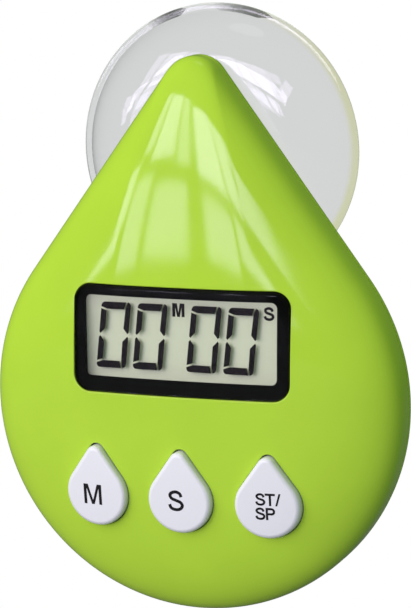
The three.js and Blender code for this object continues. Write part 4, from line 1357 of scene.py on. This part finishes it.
def fill_light(name, azimuth, elevation, level):
    """A large soft light that isn't mirrored. Its level is what it adds on a surface that faces it."""
    made = lamp(name, azimuth, elevation, FILL_DISTANCE, FILL_TINT)
    made.data.size = FILL_SIZE
    made.data.energy = level * (math.pi * FILL_DISTANCE) ** 2
    made.visible_glossy = False
    made.visible_transmission = False


def screen(name, rows, colour, cover, mirrored):
    """A screen outside the picture, from rows of points, that only gloss shows or only clear plastic.

    How much of what is behind it each column of points covers goes from 0 to 1.
    """
    rows = np.array(rows)
    count, width = rows.shape[:2]
    faces = []
    for row in range(count - 1):
        for column in range(width - 1):
            corner = row * width + column
            faces.append((corner, corner + 1, corner + 1 + width, corner + width))
    mesh = bpy.data.meshes.new(name)
    mesh.from_pydata(rows.reshape(-1, 3).tolist(), [], faces)
    mesh.attributes.new("cover", "FLOAT", "POINT").data.foreach_set("value", np.tile(cover, count))
    mesh.materials.append(dark_screen(name, colour, "cover"))
    made = put(name, mesh)
    made.visible_camera = False
    made.visible_glossy = mirrored
    made.visible_transmission = not mirrored
    made.visible_shadow = False
    made.visible_diffuse = False


def room_wall(name, elevations):
    """Dark wall all round the timer, between two elevations in degrees, above the floor."""
    up_steps, round_steps = ROOM_STEPS
    turns = np.linspace(-180, 180, round_steps + 1)
    rows = []
    for elevation in np.linspace(*elevations, up_steps + 1):
        row = [AIM + ROOM_RADIUS * direction(turn, elevation) for turn in turns]
        rows.append([(x, y, max(z, WALL_RISE - FLOOR_DROP)) for x, y, z in row])
    screen(name, rows, ROOM_SHADE, np.ones(len(turns)), mirrored=True)


def rim_shade_card(name, turns):
    """Dark sickle behind the cup's rim, between two angles from its top, that thins out at both ends. It is
    painted shade, seen only through the rim, for the dark room that the rim bends in.
    """
    shares = np.linspace(0, 1, CARD_STEPS + 1)
    inner, outer = CARD_REACH
    rows = ([], [])
    for share in shares:
        turn = math.radians(turns[0] + share * (turns[1] - turns[0]))
        width = (outer - inner) * math.sin(math.pi * share ** CARD_TAPER) ** CARD_TAPER
        for row, reach in zip(rows, (outer - width, outer)):
            row.append(np.array([reach * math.sin(turn), CARD_GAP, reach * math.cos(turn)]) * MM)
    cover = np.sin(math.pi * shares ** CARD_LEAN).clip(0, 1) ** CARD_FADE
    # The sickle's dark colour is painted shade, shown only through the clear cup.
    screen(name, rows, CARD_SHADE, cover, mirrored=False)


def surroundings():
    """White where it is seen, and a softer even light on the object."""
    world = bpy.data.worlds.new("studio")
    bpy.context.scene.world = world
    nodes = Nodes(world, "ShaderNodeOutputWorld")
    soft = nodes.add("ShaderNodeBackground", Color=(*ROOM_TINT, 1), Strength=AMBIENT)
    white = nodes.add("ShaderNodeBackground", Color=(1, 1, 1, 1), Strength=1.0)
    nodes.finish(nodes.mixed(nodes.seen_directly(), soft, white))


def floor():
    """Plain pale floor below the timer, which throws little light back up."""
    mesh = bpy.data.meshes.new("floor")
    rim = circle(0, 0, FLOOR_RADIUS, FLOOR_POINTS)
    mesh.from_pydata([(x, y, -FLOOR_DROP) for x, y in rim], [], [tuple(range(len(rim)))])
    nodes = material_nodes("floor_pale")
    plain = nodes.add("ShaderNodeBsdfDiffuse", Color=nodes.ramp(nodes.noise(FLOOR_CLOUD, 3), *FLOOR_PALE))
    glow = nodes.add("ShaderNodeEmission", Strength=FLOOR_GLOW)
    seen = nodes.add("ShaderNodeAddShader")
    for shader, socket in zip((plain, glow), seen.inputs):
        nodes.feed(shader.outputs[0], socket)
    unseen = nodes.add("ShaderNodeBsdfDiffuse", Color=(*FLOOR_UNSEEN, 1))
    mesh.materials.append(nodes.finish(nodes.mixed(nodes.seen_directly(), unseen, seen)))
    made = put("floor", mesh)


front_case()
rear_cover()
battery_door()
for name in SCREW_NAMES:
    case_screw(name)
display_lens()
display_mask()
display_panel()
for name in BUTTON_NAMES:
    button(name)
    legend(name)
    key_dome(name)
suction_cup()
dress_nodes()

camera()
surroundings()
floor()
for number, pane in enumerate(PANES, start=1):
    window_pane(f"window_pane_{number}", *pane)
for name, light in FILLS.items():
    fill_light(name, *light)
for name, elevations in WALLS.items():
    room_wall(name, elevations)
for name, turns in RIM_SHADE_CARDS.items():
    rim_shade_card(name, turns)
bpy.context.scene.view_settings.view_transform = "Standard"
